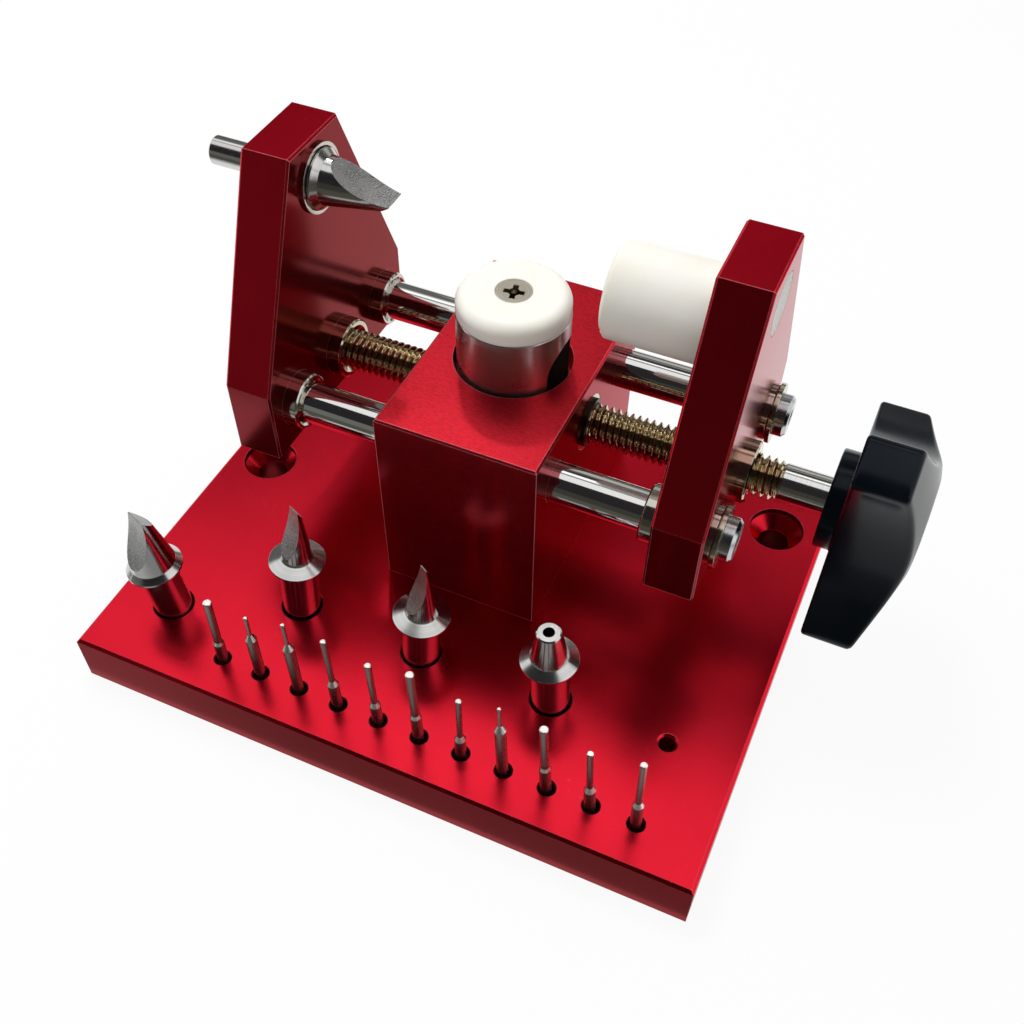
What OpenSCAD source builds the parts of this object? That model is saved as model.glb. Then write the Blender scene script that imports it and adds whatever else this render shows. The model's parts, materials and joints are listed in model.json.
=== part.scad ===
// Watch bench tool: two arms close along rods towards a sprung post.
// Origin at the middle of the base's underside. +X runs along the rods
// towards the knob, +Y towards the back, +Z up. Millimetres.

/* [Base] */
// Width of the base plate along the rods
base_w = 160; // [140:1:200]
// Depth of the base plate
base_d = 125; // [120:1:160]
// Thickness of the base plate
base_h = 14.5; // [14:0.5:20]
// Bevel along the base plate's upper edges
base_bevel = 0.8; // [0.4:0.1:1.5]
// Bore of the two fixing holes
fixing_d = 8; // [5:0.5:9]
// Rim diameter of the fixing holes' countersinks
fixing_rim_d = 14.5; // [12:0.5:17]
// Straight depth of the rim above the countersink's cone
fixing_rim_depth = 1.7; // [0.5:0.1:3]
// Distance of the left fixing hole from the base's left end
fixing_left_inset = 11; // [10:0.1:20]
// Distance of the right fixing hole from the base's right end
fixing_right_inset = 12.4; // [10:0.1:20]
// Place of the left fixing hole in depth
fixing_left_y = 10.6; // [0:0.1:20]
// Place of the right fixing hole in depth
fixing_right_y = 44.4; // [35:0.1:50]

/* [Pin rack] */
// Distance between neighbouring punch pins
pin_pitch = 10.73; // [8:0.01:11]
// Place of the first pin from the middle of the base
pin_first_x = -44.2; // [-55:0.1:-40]
// Distance of the pin row from the front edge
pin_row_inset = 10.5; // [8:0.1:14]
// Bore of the pin holes
pin_hole_d = 4; // [3.8:0.1:5]
// Depth of the pin holes
pin_hole_depth = 12.4; // [8:0.1:12.5]
// Shank diameter of the punch pins
pin_shank_d = 2.7; // [2.4:0.1:2.8]
// Place of the empty hole along the base
spare_hole_x = 62.7; // [58:0.1:66]
// Bevel around the empty hole
spare_hole_bevel = 0.5; // [0.3:0.1:1]

/* [Tips] */
// Bore of the base's tip holes
tip_hole_d = 10; // [9.9:0.1:11]
// Depth of the tip holes
tip_hole_depth = 13.4; // [10:0.1:13.5]
// Shank diameter that fits the blade bush
tip_shank_d = 9.3; // [8.6:0.1:9.4]
// Distance from the collar's rim to the end of the shank
tip_shank_len = 17; // [15:0.5:18]
// Tail diameter below the shank
tip_tail_d = 6.6; // [5:0.1:7]
// Collar diameter of the tips
tip_collar_d = 13.8; // [12.5:0.1:14.2]
// Width of the straight rim of the collar
tip_rim = 0.5; // [0.3:0.1:1]
// Height of the collar's upper cone
tip_cone_h = 1.6; // [1:0.1:2.5]
// Height of the collar's lower cone
tip_seat_h = 2.4; // [1.5:0.1:3]
// Distance from the collar to a blade's edge
blade_len = 17.7; // [14:0.5:22]
// Hollow-grinding radius of the blades
grind_r = 26; // [22:1:40]
// Distance of the tip row from the front edge
tip_row_inset = 32.7; // [29:0.1:34]
// Distance of the corner tip from the left edge
corner_tip_x = 15.4; // [12:0.1:18]
// Distance of the corner tip from the front edge
corner_tip_y = 19.6; // [18:0.1:21]
// Diameter of the wide blades where they meet the collar
wide_base_d = 11.2; // [9:0.1:11.6]
// Width of the wide blades' edge
wide_edge_w = 6.3; // [4:0.1:8]
// Diameter of the slim blades where they meet the collar
slim_base_d = 7.9; // [6:0.1:9]
// Height of the stored wide blade above its collar
wide_blade_h = 16.4; // [14:0.1:20]
// Height of the slim blades above their collars
slim_blade_h = 17.5; // [14:0.1:20]
// Distance of the edge behind the middle of the tip, in widths of the edge
edge_back = 0.13; // [0:0.01:0.3]
// Width of the narrow blade's edge
narrow_edge_w = 3.4; // [2.8:0.1:5]
// Width of the fine blade's edge
fine_edge_w = 2.2; // [1.5:0.1:3]
// Distance from the mounted blade's collar to the end of its tail
blade_tail = 28.3; // [22:0.1:32]
// Diameter of the pin holder where it meets the collar
holder_base_d = 9.2; // [8:0.1:10]
// Diameter of the pin holder's end
holder_top_d = 5.8; // [4.5:0.1:7]
// Height of the pin holder above the collar
holder_h = 10.4; // [8:0.1:14]
// Depth of the pin holder's bore
holder_bore = 14; // [8:0.5:20]

/* [Block] */
// Width of the centre block along the rods
block_w = 40; // [38:1:44]
// Depth of the centre block and of the arms
block_d = 65; // [62:1:72]
// Height of the centre block above the base
block_h = 53.5; // [50:0.5:64]
// Bevel on the block's edges
block_bevel = 0.5; // [0.3:0.1:1]
// Distance of the mechanism's middle plane behind the base's middle
mid_y = 21.7; // [18:0.1:24]

/* [Rods and screw] */
// Guide rod diameter
rod_d = 10; // [8:0.5:11]
// Distance between the two guide rods
rod_spacing = 43.2; // [42:0.1:46]
// Height of rods and screw above the base plate
axis_h = 40.5; // [37:0.5:44]
// Leadscrew diameter over the thread
screw_d = 10; // [8:0.5:10.5]
// Thread pitch, right hand on one side and left hand on the other
pitch = 1.75; // [1.5:0.25:2.5]
// Depth of the thread
thread_depth = 0.95; // [0.5:0.05:1.2]
// Length of the thread outside the right arm
thread_out = 9; // [6:0.5:10]
// Diameter of the plain end towards the knob
stem_d = 9.3; // [8:0.1:9.4]
// Thickness of the retaining rings
ring_t = 1; // [0.8:0.1:1.5]
// Outside diameter of the retaining rings
ring_d = 12; // [11.5:0.5:14]
// Depth of the retaining rings' grooves
ring_groove = 1.3; // [0.8:0.1:1.5]
// Radial running clearance of rods, screw and shanks
run_gap = 0.05; // [0.02:0.01:0.1]

/* [Arms] */
// Thickness of the arms
arm_t = 12; // [10:0.5:14]
// Height of the arms' lower edge above the base plate
arm_lift = 29.2; // [26:0.1:32]
// Height of the arms' straight sides
arm_side_h = 19.4; // [18:0.1:22]
// Height of the arms above the blade's axis
arm_over = 10; // [8.5:0.1:14]
// Width of the arms at the top
arm_top_w = 20.6; // [19:0.1:26]
// Bevel on the arms' edges
arm_bevel = 0.5; // [0.3:0.1:1]
// Gap between block and left arm when open
gap_left = 27.7; // [26:0.1:32]
// Gap between block and right arm when open
gap_right = 26.4; // [25:0.1:32]
// Outside diameter of the rod bushes
bush_d = 13.9; // [13:0.1:15]
// Length that bushes and nuts stand proud on the inner faces
bush_proud = 3.8; // [2:0.1:4.5]
// Length that the rod bushes stand proud on the outer faces
bush_out = 1.1; // [0.5:0.1:3]
// Outside diameter of the screw nuts
nut_d = 15; // [13.5:0.1:16]
// Length that the screw nuts stand proud on the outer faces
nut_out = 2.5; // [1:0.1:4]
// Width of the bevel inside the bushes' mouths
mouth_bevel = 1; // [0.5:0.1:1.3]

/* [Rod ends] */
// Diameter of the stop washers
washer_d = 15; // [14.5:0.1:17]
// Thickness of the stop washers
washer_t = 1.1; // [0.8:0.1:2]
// Head diameter of the end screws
end_head_d = 10.4; // [9:0.1:12]
// Head height of the end screws
end_head_h = 3.1; // [2.8:0.1:6]
// Thread diameter of the end screws
end_screw_d = 5; // [4:0.5:6]
// Length of the end screws below the head
end_screw_len = 14; // [10:1:20]

/* [Post] */
// Diameter of the support post
post_d = 26.7; // [22:0.1:27]
// Radial clearance of the post in its bore
post_gap = 0.07; // [0.03:0.01:0.1]
// Wider mouth of the post's bore
mouth_d = 28.5; // [28:0.1:30]
// Depth of the wider mouth
mouth_depth = 7; // [4:0.5:8]
// Height of the post above the block
post_out = 14.2; // [12:0.1:15]
// Width of the post's slot round the leadscrew
slot_w = 13.6; // [13:0.1:14]
// Wall of the post above the slot
slot_wall = 4.8; // [4:0.1:6]
// Wall of the post below the slot
slot_floor = 6; // [4:0.5:8]
// Thickness of the cap
cap_h = 5; // [4.8:0.1:8]
// Radius of the cap's rounded edge
cap_round = 2.8; // [2:0.1:3.5]
// Head diameter of the cap screw
cap_head_d = 8.6; // [7:0.1:10]
// Thread diameter of the cap screw
cap_screw_d = 4; // [3:0.5:5]
// Wire diameter of the post's spring
spring_wire = 2; // [1.5:0.1:2.2]
// Outside diameter of the post's spring
spring_d = 22; // [18:0.5:24]
// Turns of the post's spring
spring_turns = 6; // [4:1:6]

/* [Blade bush and jaw] */
// Height of the blade above the base plate
blade_h = 88.3; // [84:0.1:90]
// Outside diameter of the blade bush in the arm
blade_bush_d = 13.4; // [12.5:0.1:14]
// Flange diameter of the blade bush
blade_flange_d = 16; // [15.5:0.1:18]
// Flange thickness of the blade bush
blade_flange_t = 0.8; // [0.5:0.1:2]
// Diameter of the jaw
jaw_d = 21.5; // [16:0.1:23]
// Distance of the jaw's axis below its stem
jaw_drop = 7.3; // [2:0.1:8]
// Length of the jaw in front of the right arm
jaw_out = 22.9; // [16:0.1:23.5]
// Diameter of the jaw's stem, which stands off centre in the right arm
jaw_stem_d = 13.4; // [10:0.1:14]
// Depth of the groove across the jaw's free end
jaw_groove = 1; // [0.5:0.1:2]

/* [Knob] */
// Tip radius of the knob's lobes
knob_r = 32.3; // [26:0.1:36]
// Width of a lobe's tip
lobe_w = 12; // [9:0.5:16]
// Size of the cut on the lobes' corners
lobe_cut = 1.8; // [0.5:0.1:3]
// Radius of the knob's waist between lobes
waist_r = 15; // [13:0.5:18]
// Thickness of the knob at its rim
knob_rim_t = 11.7; // [8:0.1:14]
// Thickness of the knob at its middle
knob_mid_t = 17.5; // [14:0.1:20]
// Diameter of the flat middle of the knob
knob_flat_d = 24; // [16:1:30]
// Diameter of the knob's hub
hub_d = 23.2; // [18:0.1:27]
// Length of the knob's hub
hub_len = 4; // [3:0.1:8]
// Distance of the hub from the right arm
hub_gap = 20.1; // [16:0.1:26]
// Outside diameter of the threaded insert
insert_d = 13; // [11:0.5:14]
// Diameter of the screw's end inside the insert
spigot_d = 8; // [6:0.5:8.5]

/* [Fasteners] */
// Thread diameter of the block screws
block_screw_d = 5; // [4:0.5:6]
// Head diameter of the block screws
block_head_d = 9.6; // [8:0.1:11]
// Length of the block screws
block_screw_len = 24; // [20:1:30]
// Diameter of the rod set screws
set_screw_d = 5; // [4:0.5:5]
// Length of the rod set screws
set_screw_len = 8; // [6:1:12]

/* [Hidden] */
$fn = 48;
skin = 0.01;
base_half_w = base_w / 2;
base_half_d = base_d / 2;
axis_z = base_h + axis_h;
block_top = base_h + block_h;
rod_y = [mid_y - rod_spacing / 2, mid_y + rod_spacing / 2];
left_in_x = -block_w / 2 - gap_left;
left_out_x = left_in_x - arm_t;
right_in_x = block_w / 2 + gap_right;
right_out_x = right_in_x + arm_t;
run_bore = rod_d + 2 * run_gap;
rod_recess = 0.8;
rod_right_x = right_out_x + bush_out;
rod_len = rod_right_x - left_out_x - rod_recess;
washer_bore = end_screw_d + 0.4;
post_bore = post_d + 2 * post_gap;
post_top = block_top + post_out;
slot_top = post_top - slot_wall;
slot_bottom = axis_z - screw_d / 2 - 0.3;
post_bottom = slot_bottom - slot_floor;
spring_h = post_bottom - base_h;
cap_head_sink = 0.3;
cap_head_h = 2.4;
cap_screw_len = 9;
blade_z = base_h + blade_h;
jaw_z = blade_z - jaw_drop;
arm_h = blade_h + arm_over - arm_lift;
tip_fit = tip_shank_d + 2 * run_gap;
seat_gap = 0.3;
tip_end_bevel = 0.5;
hub_x = right_out_x + hub_gap;
thread_end_x = right_out_x + thread_out;
journal_x = block_w / 2 + ring_t + 2;
pin_row_y = -base_half_d + pin_row_inset;
tip_row_y = -base_half_d + tip_row_inset;
bush_clear = 0.65;
screw_bush_len = block_w / 2 - post_d / 2 - bush_clear;
screw_bush_wall = 2;
block_screw_x = 14;
block_screw_y = 26;
block_head_h = 2.6;
head_sink = 0.7;
block_socket_h = 1.6;
block_socket_d = 4.6;
ring_mouth = 6;
end_socket_depth = 2;
end_socket_d = 4.6;
cross_w = 4.4;
cross_t = 0.9;
cross_depth = 1.4;
groove_drop = 4.4;
hole_rim_bevel = 0.3;
bay_turn = 60;
cut_over = 0.5;
cut_slope = 0.3;

// Each pin: height above the base, height of its shoulder, tip diameter, lean to the right
pins = [
    [22.5, 7.4, 2.0, 1.1], [22.3, 15.8, 1.0, 0], [25.5, 18.1, 1.0, -0.8],
    [25.1, 9.9, 1.4, -1.6], [22.4, 7.8, 1.6, -1.4], [25.3, 9.6, 2.0, -1.6],
    [22.2, 7.9, 1.4, 0], [25.5, 18.8, 0.9, -2.0], [24.3, 9.3, 2.0, -2.8],
    [21.9, 8.1, 1.5, -3.2], [25.5, 9.8, 1.6, -1.4]
];

// Each stored tip: place, collar height above the base, lean to the right, lean to the back
stored = [
    [corner_tip_x - base_half_w, corner_tip_y - base_half_d, 15.2, -5, -2],
    [-34.9, tip_row_y, 17.2, 2.6, 2.4],
    [-1, tip_row_y - 0.4, 15.2, 3.4, 0.6],
    [33.2, tip_row_y, 16.6, -2.4, -1.2]
];

// Helpers

// A cylinder along +X from x0, centred on a line at y and z
module bar(x0, len, d, y, z) {
    translate([x0, y, z])
        rotate([0, 90, 0])
            cylinder(h = len, d = d);
}

// A cone along +X from x0
module taper(x0, len, d0, d1, y, z) {
    translate([x0, y, z])
        rotate([0, 90, 0])
            cylinder(h = len, d1 = d0, d2 = d1);
}

// A box centred in X and Y with a bevel all round its top edges
module slab(w, d, h, b) {
    rotate([90, 0, 0])
        linear_extrude(height = d, center = true)
            polygon([
                [-w / 2, 0], [w / 2, 0], [w / 2, h - b],
                [w / 2 - b, h], [-w / 2 + b, h], [-w / 2, h - b]
            ]);
}

// Beveled box: the overlap of two slabs at right angles
module bevel_box(w, d, h, b) {
    intersection() {
        slab(w, d, h, b);
        rotate([0, 0, 90])
            slab(d, w, h, b);
    }
}

// A blind hole down from the base's top with a flat floor
module base_hole(x, y, d, depth) {
    translate([x, y, base_h - depth])
        cylinder(h = depth + 1, d = d);
    translate([x, y, base_h - hole_rim_bevel])
        cylinder(h = hole_rim_bevel + skin, d1 = d, d2 = d + 2 * hole_rim_bevel);
}

// Countersunk fixing hole right through the base
module fixing_hole(x, y) {
    cone_h = (fixing_rim_d - fixing_d) / 2;
    translate([x, y, -1])
        cylinder(h = base_h + 2, d = fixing_d);
    translate([x, y, base_h - fixing_rim_depth - cone_h])
        cylinder(h = cone_h, d1 = fixing_d, d2 = fixing_rim_d);
    translate([x, y, base_h - fixing_rim_depth])
        cylinder(h = fixing_rim_depth + 1, d = fixing_rim_d);
}

function pin_x(i) = pin_first_x + pin_pitch * i;

// Place of the block screws, four round the block's middle
module at_block_screws() {
    for (sx = [-1, 1], sy = [-1, 1])
        translate([sx * block_screw_x, mid_y + sy * block_screw_y, 0])
            children();
}

// Base

module base_plate() {
    color("firebrick")
        difference() {
            bevel_box(base_w, base_d, base_h, base_bevel);
            fixing_hole(fixing_left_inset - base_half_w, fixing_left_y);
            fixing_hole(base_half_w - fixing_right_inset, fixing_right_y);
            for (i = [0:len(pins) - 1])
                base_hole(pin_x(i), pin_row_y, pin_hole_d, pin_hole_depth);
            for (t = stored)
                base_hole(t[0], t[1], tip_hole_d, tip_hole_depth);
            base_hole(spare_hole_x, tip_row_y, pin_hole_d, pin_hole_depth);
            translate([spare_hole_x, tip_row_y, base_h - spare_hole_bevel])
                cylinder(
                    h = spare_hole_bevel + skin,
                    d1 = pin_hole_d, d2 = pin_hole_d + 2 * spare_hole_bevel
                );
            at_block_screws() {
                translate([0, 0, -1])
                    cylinder(h = base_h + 2, d = block_screw_d + 0.5);
                translate([0, 0, -1])
                    cylinder(h = block_head_h + head_sink + 1, d = block_head_d + 0.6);
            }
        }
}

// One flat-headed screw, its head just above the underside of the base
module block_screw() {
    difference() {
        union() {
            translate([0, 0, head_sink])
                cylinder(h = block_head_h, d = block_head_d);
            translate([0, 0, head_sink])
                cylinder(h = block_screw_len, d = block_screw_d);
        }
        translate([0, 0, head_sink - skin])
            cylinder(h = block_socket_h, d = block_socket_d, $fn = 6);
    }
}

module block_screws() {
    color("dimgray")
        at_block_screws()
            block_screw();
}

// Block with the bores for post, rods, screw bushes and fasteners
module centre_block() {
    bush_bore = screw_d + 2 * screw_bush_wall;
    screw_depth = block_screw_len + 3 - base_h;
    color("firebrick")
        difference() {
            translate([0, mid_y, base_h])
                bevel_box(block_w, block_d, block_h, block_bevel);
            translate([0, mid_y, base_h - 1])
                cylinder(h = block_h + 2, d = post_bore);
            translate([0, mid_y, block_top - mouth_depth])
                cylinder(h = mouth_depth + 1, d = mouth_d);
            for (y = rod_y)
                bar(-block_w / 2 - 1, block_w + 2, rod_d, y, axis_z);
            bar(-block_w / 2 - 1, block_w + 2, bush_bore, mid_y, axis_z);
            at_block_screws()
                translate([0, 0, base_h - 1])
                    cylinder(h = screw_depth + 1, d = block_screw_d);
            for (y = rod_y)
                translate([0, y, base_h - 1])
                    cylinder(h = axis_h + 1, d = set_screw_d);
        }
}

// Grub screws that press on the rods from below
module rod_set_screws() {
    top_z = axis_z - rod_d / 2;
    color("dimgray")
        for (y = rod_y)
            translate([0, y, top_z - set_screw_len])
                difference() {
                    cylinder(h = set_screw_len, d = set_screw_d);
                    translate([0, 0, -1])
                        cylinder(h = 3.5, d = set_screw_d / 2, $fn = 6);
                }
}

// Rods, their ends and the screw

// A guide rod, tapped at its right end and bevelled at both
module guide_rod(y) {
    x0 = left_out_x + rod_recess;
    b = 0.5;
    color("gainsboro")
        difference() {
            union() {
                bar(x0 + b, rod_len - 2 * b, rod_d, y, axis_z);
                taper(x0, b, rod_d - 2 * b, rod_d, y, axis_z);
                taper(x0 + rod_len - b, b, rod_d, rod_d - 2 * b, y, axis_z);
            }
            bar(rod_right_x - end_screw_len - 2, end_screw_len + 3, end_screw_d, y, axis_z);
        }
}

module rod_end_washers() {
    color("silver")
        for (y = rod_y)
            difference() {
                bar(rod_right_x, washer_t, washer_d, y, axis_z);
                bar(rod_right_x - 1, washer_t + 2, washer_bore, y, axis_z);
            }
}

// Low cap screws with a hexagon socket
module rod_end_screws() {
    x0 = rod_right_x + washer_t;
    b = 0.8;
    color("silver")
        for (y = rod_y)
            difference() {
                union() {
                    bar(x0, end_head_h - b, end_head_d, y, axis_z);
                    taper(x0 + end_head_h - b, b, end_head_d, end_head_d - 2 * b, y, axis_z);
                    bar(x0 - end_screw_len, end_screw_len, end_screw_d, y, axis_z);
                }
                translate([x0 + end_head_h - end_socket_depth, y, axis_z])
                    rotate([0, 90, 0])
                        cylinder(h = end_socket_depth + 1, d = end_socket_d, $fn = 6);
            }
}

// A plain bush flush with the block's side
module screw_bush(x0) {
    color("tan")
        difference() {
            bar(x0, screw_bush_len, screw_d + 2 * screw_bush_wall, mid_y, axis_z);
            bar(x0 - 1, screw_bush_len + 2, screw_d + 2 * run_gap, mid_y, axis_z);
        }
}

// Outline of a thread from x0 to x1, as points of distance and radius
function thread_points(x0, x1) =
    let (n = floor((x1 - x0) / pitch), r = screw_d / 2, root = r - thread_depth)
    [
        for (i = [0:n - 1], k = [0:3])
            [
                x0 + pitch * (i + [0.08, 0.45, 0.55, 0.92][k]),
                [r, root, root, r][k]
            ]
    ];

// Screw: left-hand thread, journal, right-hand thread, plain stem and spigot
module leadscrew() {
    r = screw_d / 2;
    ring_x = block_w / 2;
    start_x = left_out_x + 1.2;
    end_x = hub_x + hub_len + knob_rim_t;
    outline = concat(
        [[start_x, 0], [start_x, r - thread_depth]],
        thread_points(start_x + 0.6, -journal_x),
        [[-journal_x, r], [-ring_x - ring_t, r], [-ring_x - ring_t, r - ring_groove]],
        [[-ring_x, r - ring_groove], [-ring_x, r]],
        [[ring_x, r], [ring_x, r - ring_groove], [ring_x + ring_t, r - ring_groove]],
        [[ring_x + ring_t, r], [journal_x, r]],
        thread_points(journal_x, thread_end_x),
        [[thread_end_x, stem_d / 2], [hub_x, stem_d / 2], [hub_x, spigot_d / 2]],
        [[end_x - 0.5, spigot_d / 2], [end_x, spigot_d / 2 - 0.5], [end_x, 0]]
    );
    color("silver")
        translate([0, mid_y, axis_z])
            rotate([0, 90, 0])
                rotate_extrude()
                    polygon([for (p = outline) [p[1], p[0]]]);
}

// Spring clips in the journal's grooves, open at the back
module retaining_rings() {
    color("dimgray")
        for (x0 = [-block_w / 2 - ring_t, block_w / 2])
            difference() {
                bar(x0, ring_t, ring_d, mid_y, axis_z);
                bar(x0 - 1, ring_t + 2, screw_d - 2 * ring_groove, mid_y, axis_z);
                translate([x0 - 1, mid_y, axis_z - ring_mouth / 2])
                    cube([ring_t + 2, ring_d, ring_mouth]);
            }
}

// Knob

// Outline of the knob: a disc with three round bays, the lobes' corners cut off
module knob_outline() {
    half_tip = asin(lobe_w / 2 / knob_r);
    along = knob_r * cos(bay_turn - half_tip);
    across = knob_r * sin(bay_turn - half_tip);
    depth = along - waist_r;
    bay_r = (across * across + depth * depth) / 2 / depth;
    bay_x = waist_r + bay_r;
    cut_a = bay_turn - half_tip + asin(lobe_cut / knob_r);
    start = [knob_r * cos(cut_a), knob_r * sin(cut_a)];
    end = [along - lobe_cut - cut_over, across - lobe_cut * cut_slope - cut_over];
    beyond = start + (start - end) * 2;
    difference() {
        circle(r = knob_r);
        for (a = [bay_turn, 3 * bay_turn, 5 * bay_turn], m = [0, 1])
            rotate(a)
                mirror([0, m]) {
                    translate([bay_x, 0])
                        circle(r = bay_r, $fn = 96);
                    polygon([beyond, [beyond[0], 0], end]);
                }
    }
}

module knob() {
    x1 = hub_x + hub_len;
    lobe_turn = -2;
    slope = (knob_mid_t - knob_rim_t) / (knob_r - knob_flat_d / 2);
    color("#1c1d20")
        difference() {
            translate([x1, mid_y, axis_z])
                rotate([0, 90, 0])
                    union() {
                        intersection() {
                            rotate([0, 0, 90 - lobe_turn])
                                linear_extrude(height = knob_mid_t)
                                    knob_outline();
                            rotate_extrude()
                                polygon([
                                    [0, -1], [knob_r + 1, -1], [knob_r + 1, knob_rim_t - slope],
                                    [knob_flat_d / 2, knob_mid_t], [0, knob_mid_t]
                                ]);
                        }
                        translate([0, 0, -hub_len])
                            cylinder(h = hub_len + 1, d = hub_d);
                    }
            bar(hub_x - 1, hub_len + knob_rim_t + 1, insert_d, mid_y, axis_z);
        }
}

module knob_insert() {
    color("darkkhaki")
        difference() {
            bar(hub_x, hub_len + knob_rim_t, insert_d, mid_y, axis_z);
            bar(hub_x - 1, hub_len + knob_rim_t + 2, spigot_d, mid_y, axis_z);
        }
}

// Post

// Slot along X with a round top and a flat bottom
module post_slot() {
    arch_z = slot_top - slot_w / 2;
    translate([-post_d / 2 - 1, mid_y - slot_w / 2, slot_bottom])
        cube([post_d + 2, slot_w, arch_z - slot_bottom]);
    bar(-post_d / 2 - 1, post_d + 2, slot_w, mid_y, arch_z);
}

module support_post() {
    b = 0.4;
    h = post_top - post_bottom;
    color("slategray")
        difference() {
            translate([0, mid_y, post_bottom]) {
                cylinder(h = h - b, d = post_d);
                translate([0, 0, h - b])
                    cylinder(h = b, d1 = post_d, d2 = post_d - 2 * b);
            }
            post_slot();
            translate([0, mid_y, slot_top - 1])
                cylinder(h = slot_wall + 2, d = cap_screw_d);
        }
}

// One unbroken tube wound from the base up to the post
module post_spring() {
    sides = 6;
    rings_per_turn = 8;
    steps = spring_turns * rings_per_turn;
    r = spring_d / 2 - spring_wire / 2;
    w = spring_wire / 2;
    rise = spring_h - spring_wire;
    points = [
        for (i = [0:steps], k = [0:sides - 1])
            let (a = 360 * i / rings_per_turn, b = 360 * k / sides, z = w + rise * i / steps)
            [(r + w * cos(b)) * cos(a), (r + w * cos(b)) * sin(a), z + w * sin(b)]
    ];
    walls = [
        for (i = [0:steps - 1], k = [0:sides - 1])
            let (n = (k + 1) % sides, p = i * sides, q = p + sides)
            each [[p + k, q + k, q + n], [p + k, q + n, p + n]]
    ];
    lids = [
        for (k = [1:sides - 2])
            each [[0, k, k + 1], [steps * sides, steps * sides + k + 1, steps * sides + k]]
    ];
    echo(least_gap_between_turns = rise / spring_turns - spring_wire);
    color("gray")
        translate([0, mid_y, base_h])
            polyhedron(points = points, faces = concat(walls, lids));
}

module cap() {
    r = post_d / 2 - 0.05;
    head_z = cap_h - cap_head_sink - cap_head_h;
    color("ivory")
        translate([0, mid_y, post_top])
            difference() {
                rotate_extrude() {
                    square([r, cap_h - cap_round]);
                    square([r - cap_round, cap_h]);
                    translate([r - cap_round, cap_h - cap_round])
                        intersection() {
                            circle(r = cap_round);
                            square(cap_round);
                        }
                }
                translate([0, 0, -1])
                    cylinder(h = cap_h + 2, d = cap_screw_d + 0.4);
                translate([0, 0, head_z])
                    cylinder(h = cap_head_h, d1 = cap_screw_d + 0.4, d2 = cap_head_d);
                translate([0, 0, head_z + cap_head_h - skin])
                    cylinder(h = cap_head_sink + 1, d = cap_head_d);
            }
}

// Countersunk screw with a cross recess
module cap_screw() {
    head_z = cap_h - cap_head_sink - cap_head_h;
    top_z = head_z + cap_head_h;
    color("darkgray")
        translate([0, mid_y, post_top])
            difference() {
                union() {
                    translate([0, 0, head_z])
                        cylinder(h = cap_head_h, d1 = cap_screw_d, d2 = cap_head_d - 0.1);
                    translate([0, 0, top_z - cap_screw_len])
                        cylinder(h = cap_screw_len - 0.1, d = cap_screw_d);
                }
                for (a = [0, 90])
                    rotate([0, 0, a + 10])
                        translate([-cross_w / 2, -cross_t / 2, top_z - cross_depth])
                            cube([cross_w, cross_t, cross_depth + 1]);
            }
}

// Arms

// Front view of an arm, from its lower edge up
module arm_outline(b) {
    half = block_d / 2 - b;
    half_top = arm_top_w / 2 - b / 2;
    polygon([
        [-half, b], [half, b], [half, arm_side_h],
        [half_top, arm_h - b], [-half_top, arm_h - b], [-half, arm_side_h]
    ]);
}

// Arm plate with its inner face at x0, bores left to the caller
module arm_plate(x0) {
    translate([x0, mid_y, base_h + arm_lift])
        rotate([90, 0, 90])
            hull() {
                translate([0, 0, arm_bevel])
                    linear_extrude(height = arm_t - 2 * arm_bevel)
                        arm_outline(0);
                linear_extrude(height = arm_t)
                    arm_outline(arm_bevel);
            }
}

// Bores that both arms share
module arm_bores(x0) {
    for (y = rod_y)
        bar(x0 - 1, arm_t + 2, bush_d, y, axis_z);
    bar(x0 - 1, arm_t + 2, nut_d, mid_y, axis_z);
}

module left_arm() {
    color("firebrick")
        difference() {
            arm_plate(left_out_x);
            arm_bores(left_out_x);
            bar(left_out_x - 1, arm_t + 2, blade_bush_d, mid_y, blade_z);
        }
}

module right_arm() {
    color("firebrick")
        difference() {
            arm_plate(right_in_x);
            arm_bores(right_in_x);
            bar(right_in_x - 1, arm_t + 2, jaw_stem_d + 0.3, mid_y, blade_z);
        }
}

// A sleeve pressed through an arm, proud on both faces, its mouth bevelled.
// dir is 1 where the arm's inner face looks along +X.
module sleeve(inner_x, dir, out, d, bore, y) {
    len = bush_proud + arm_t + out;
    rim = 0.4;
    ri = bore / 2;
    ro = d / 2;
    translate([inner_x, y, axis_z])
        rotate([0, 90 * dir, 0])
            translate([0, 0, -arm_t - out])
                rotate_extrude()
                    polygon([
                        [ri, 0], [ro - rim, 0], [ro, rim], [ro, len - rim], [ro - rim, len],
                        [ri + mouth_bevel, len], [ri, len - mouth_bevel]
                    ]);
}

module left_bush(y) {
    color("silver")
        sleeve(left_in_x, 1, bush_out, bush_d, run_bore, y);
}

module right_bush(y) {
    color("silver")
        sleeve(right_in_x, -1, bush_out, bush_d, run_bore, y);
}

module left_nut() {
    color("darkkhaki")
        sleeve(left_in_x, 1, nut_out, nut_d, screw_d + 2 * run_gap, mid_y);
}

module right_nut() {
    color("darkkhaki")
        sleeve(right_in_x, -1, nut_out, nut_d, screw_d + 2 * run_gap, mid_y);
}

// Bush with a thin flange and a cone that takes the blade's collar
module blade_bush() {
    flange_x = left_in_x + blade_flange_t;
    seat_d = tip_collar_d + 2 * seat_gap;
    color("silver")
        difference() {
            union() {
                bar(left_out_x, arm_t, blade_bush_d, mid_y, blade_z);
                bar(left_in_x, blade_flange_t, blade_flange_d, mid_y, blade_z);
            }
            bar(left_out_x - 1, arm_t + 3, tip_fit, mid_y, blade_z);
            taper(flange_x - tip_seat_h, tip_seat_h + skin, tip_fit, seat_d, mid_y, blade_z);
        }
}

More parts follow.
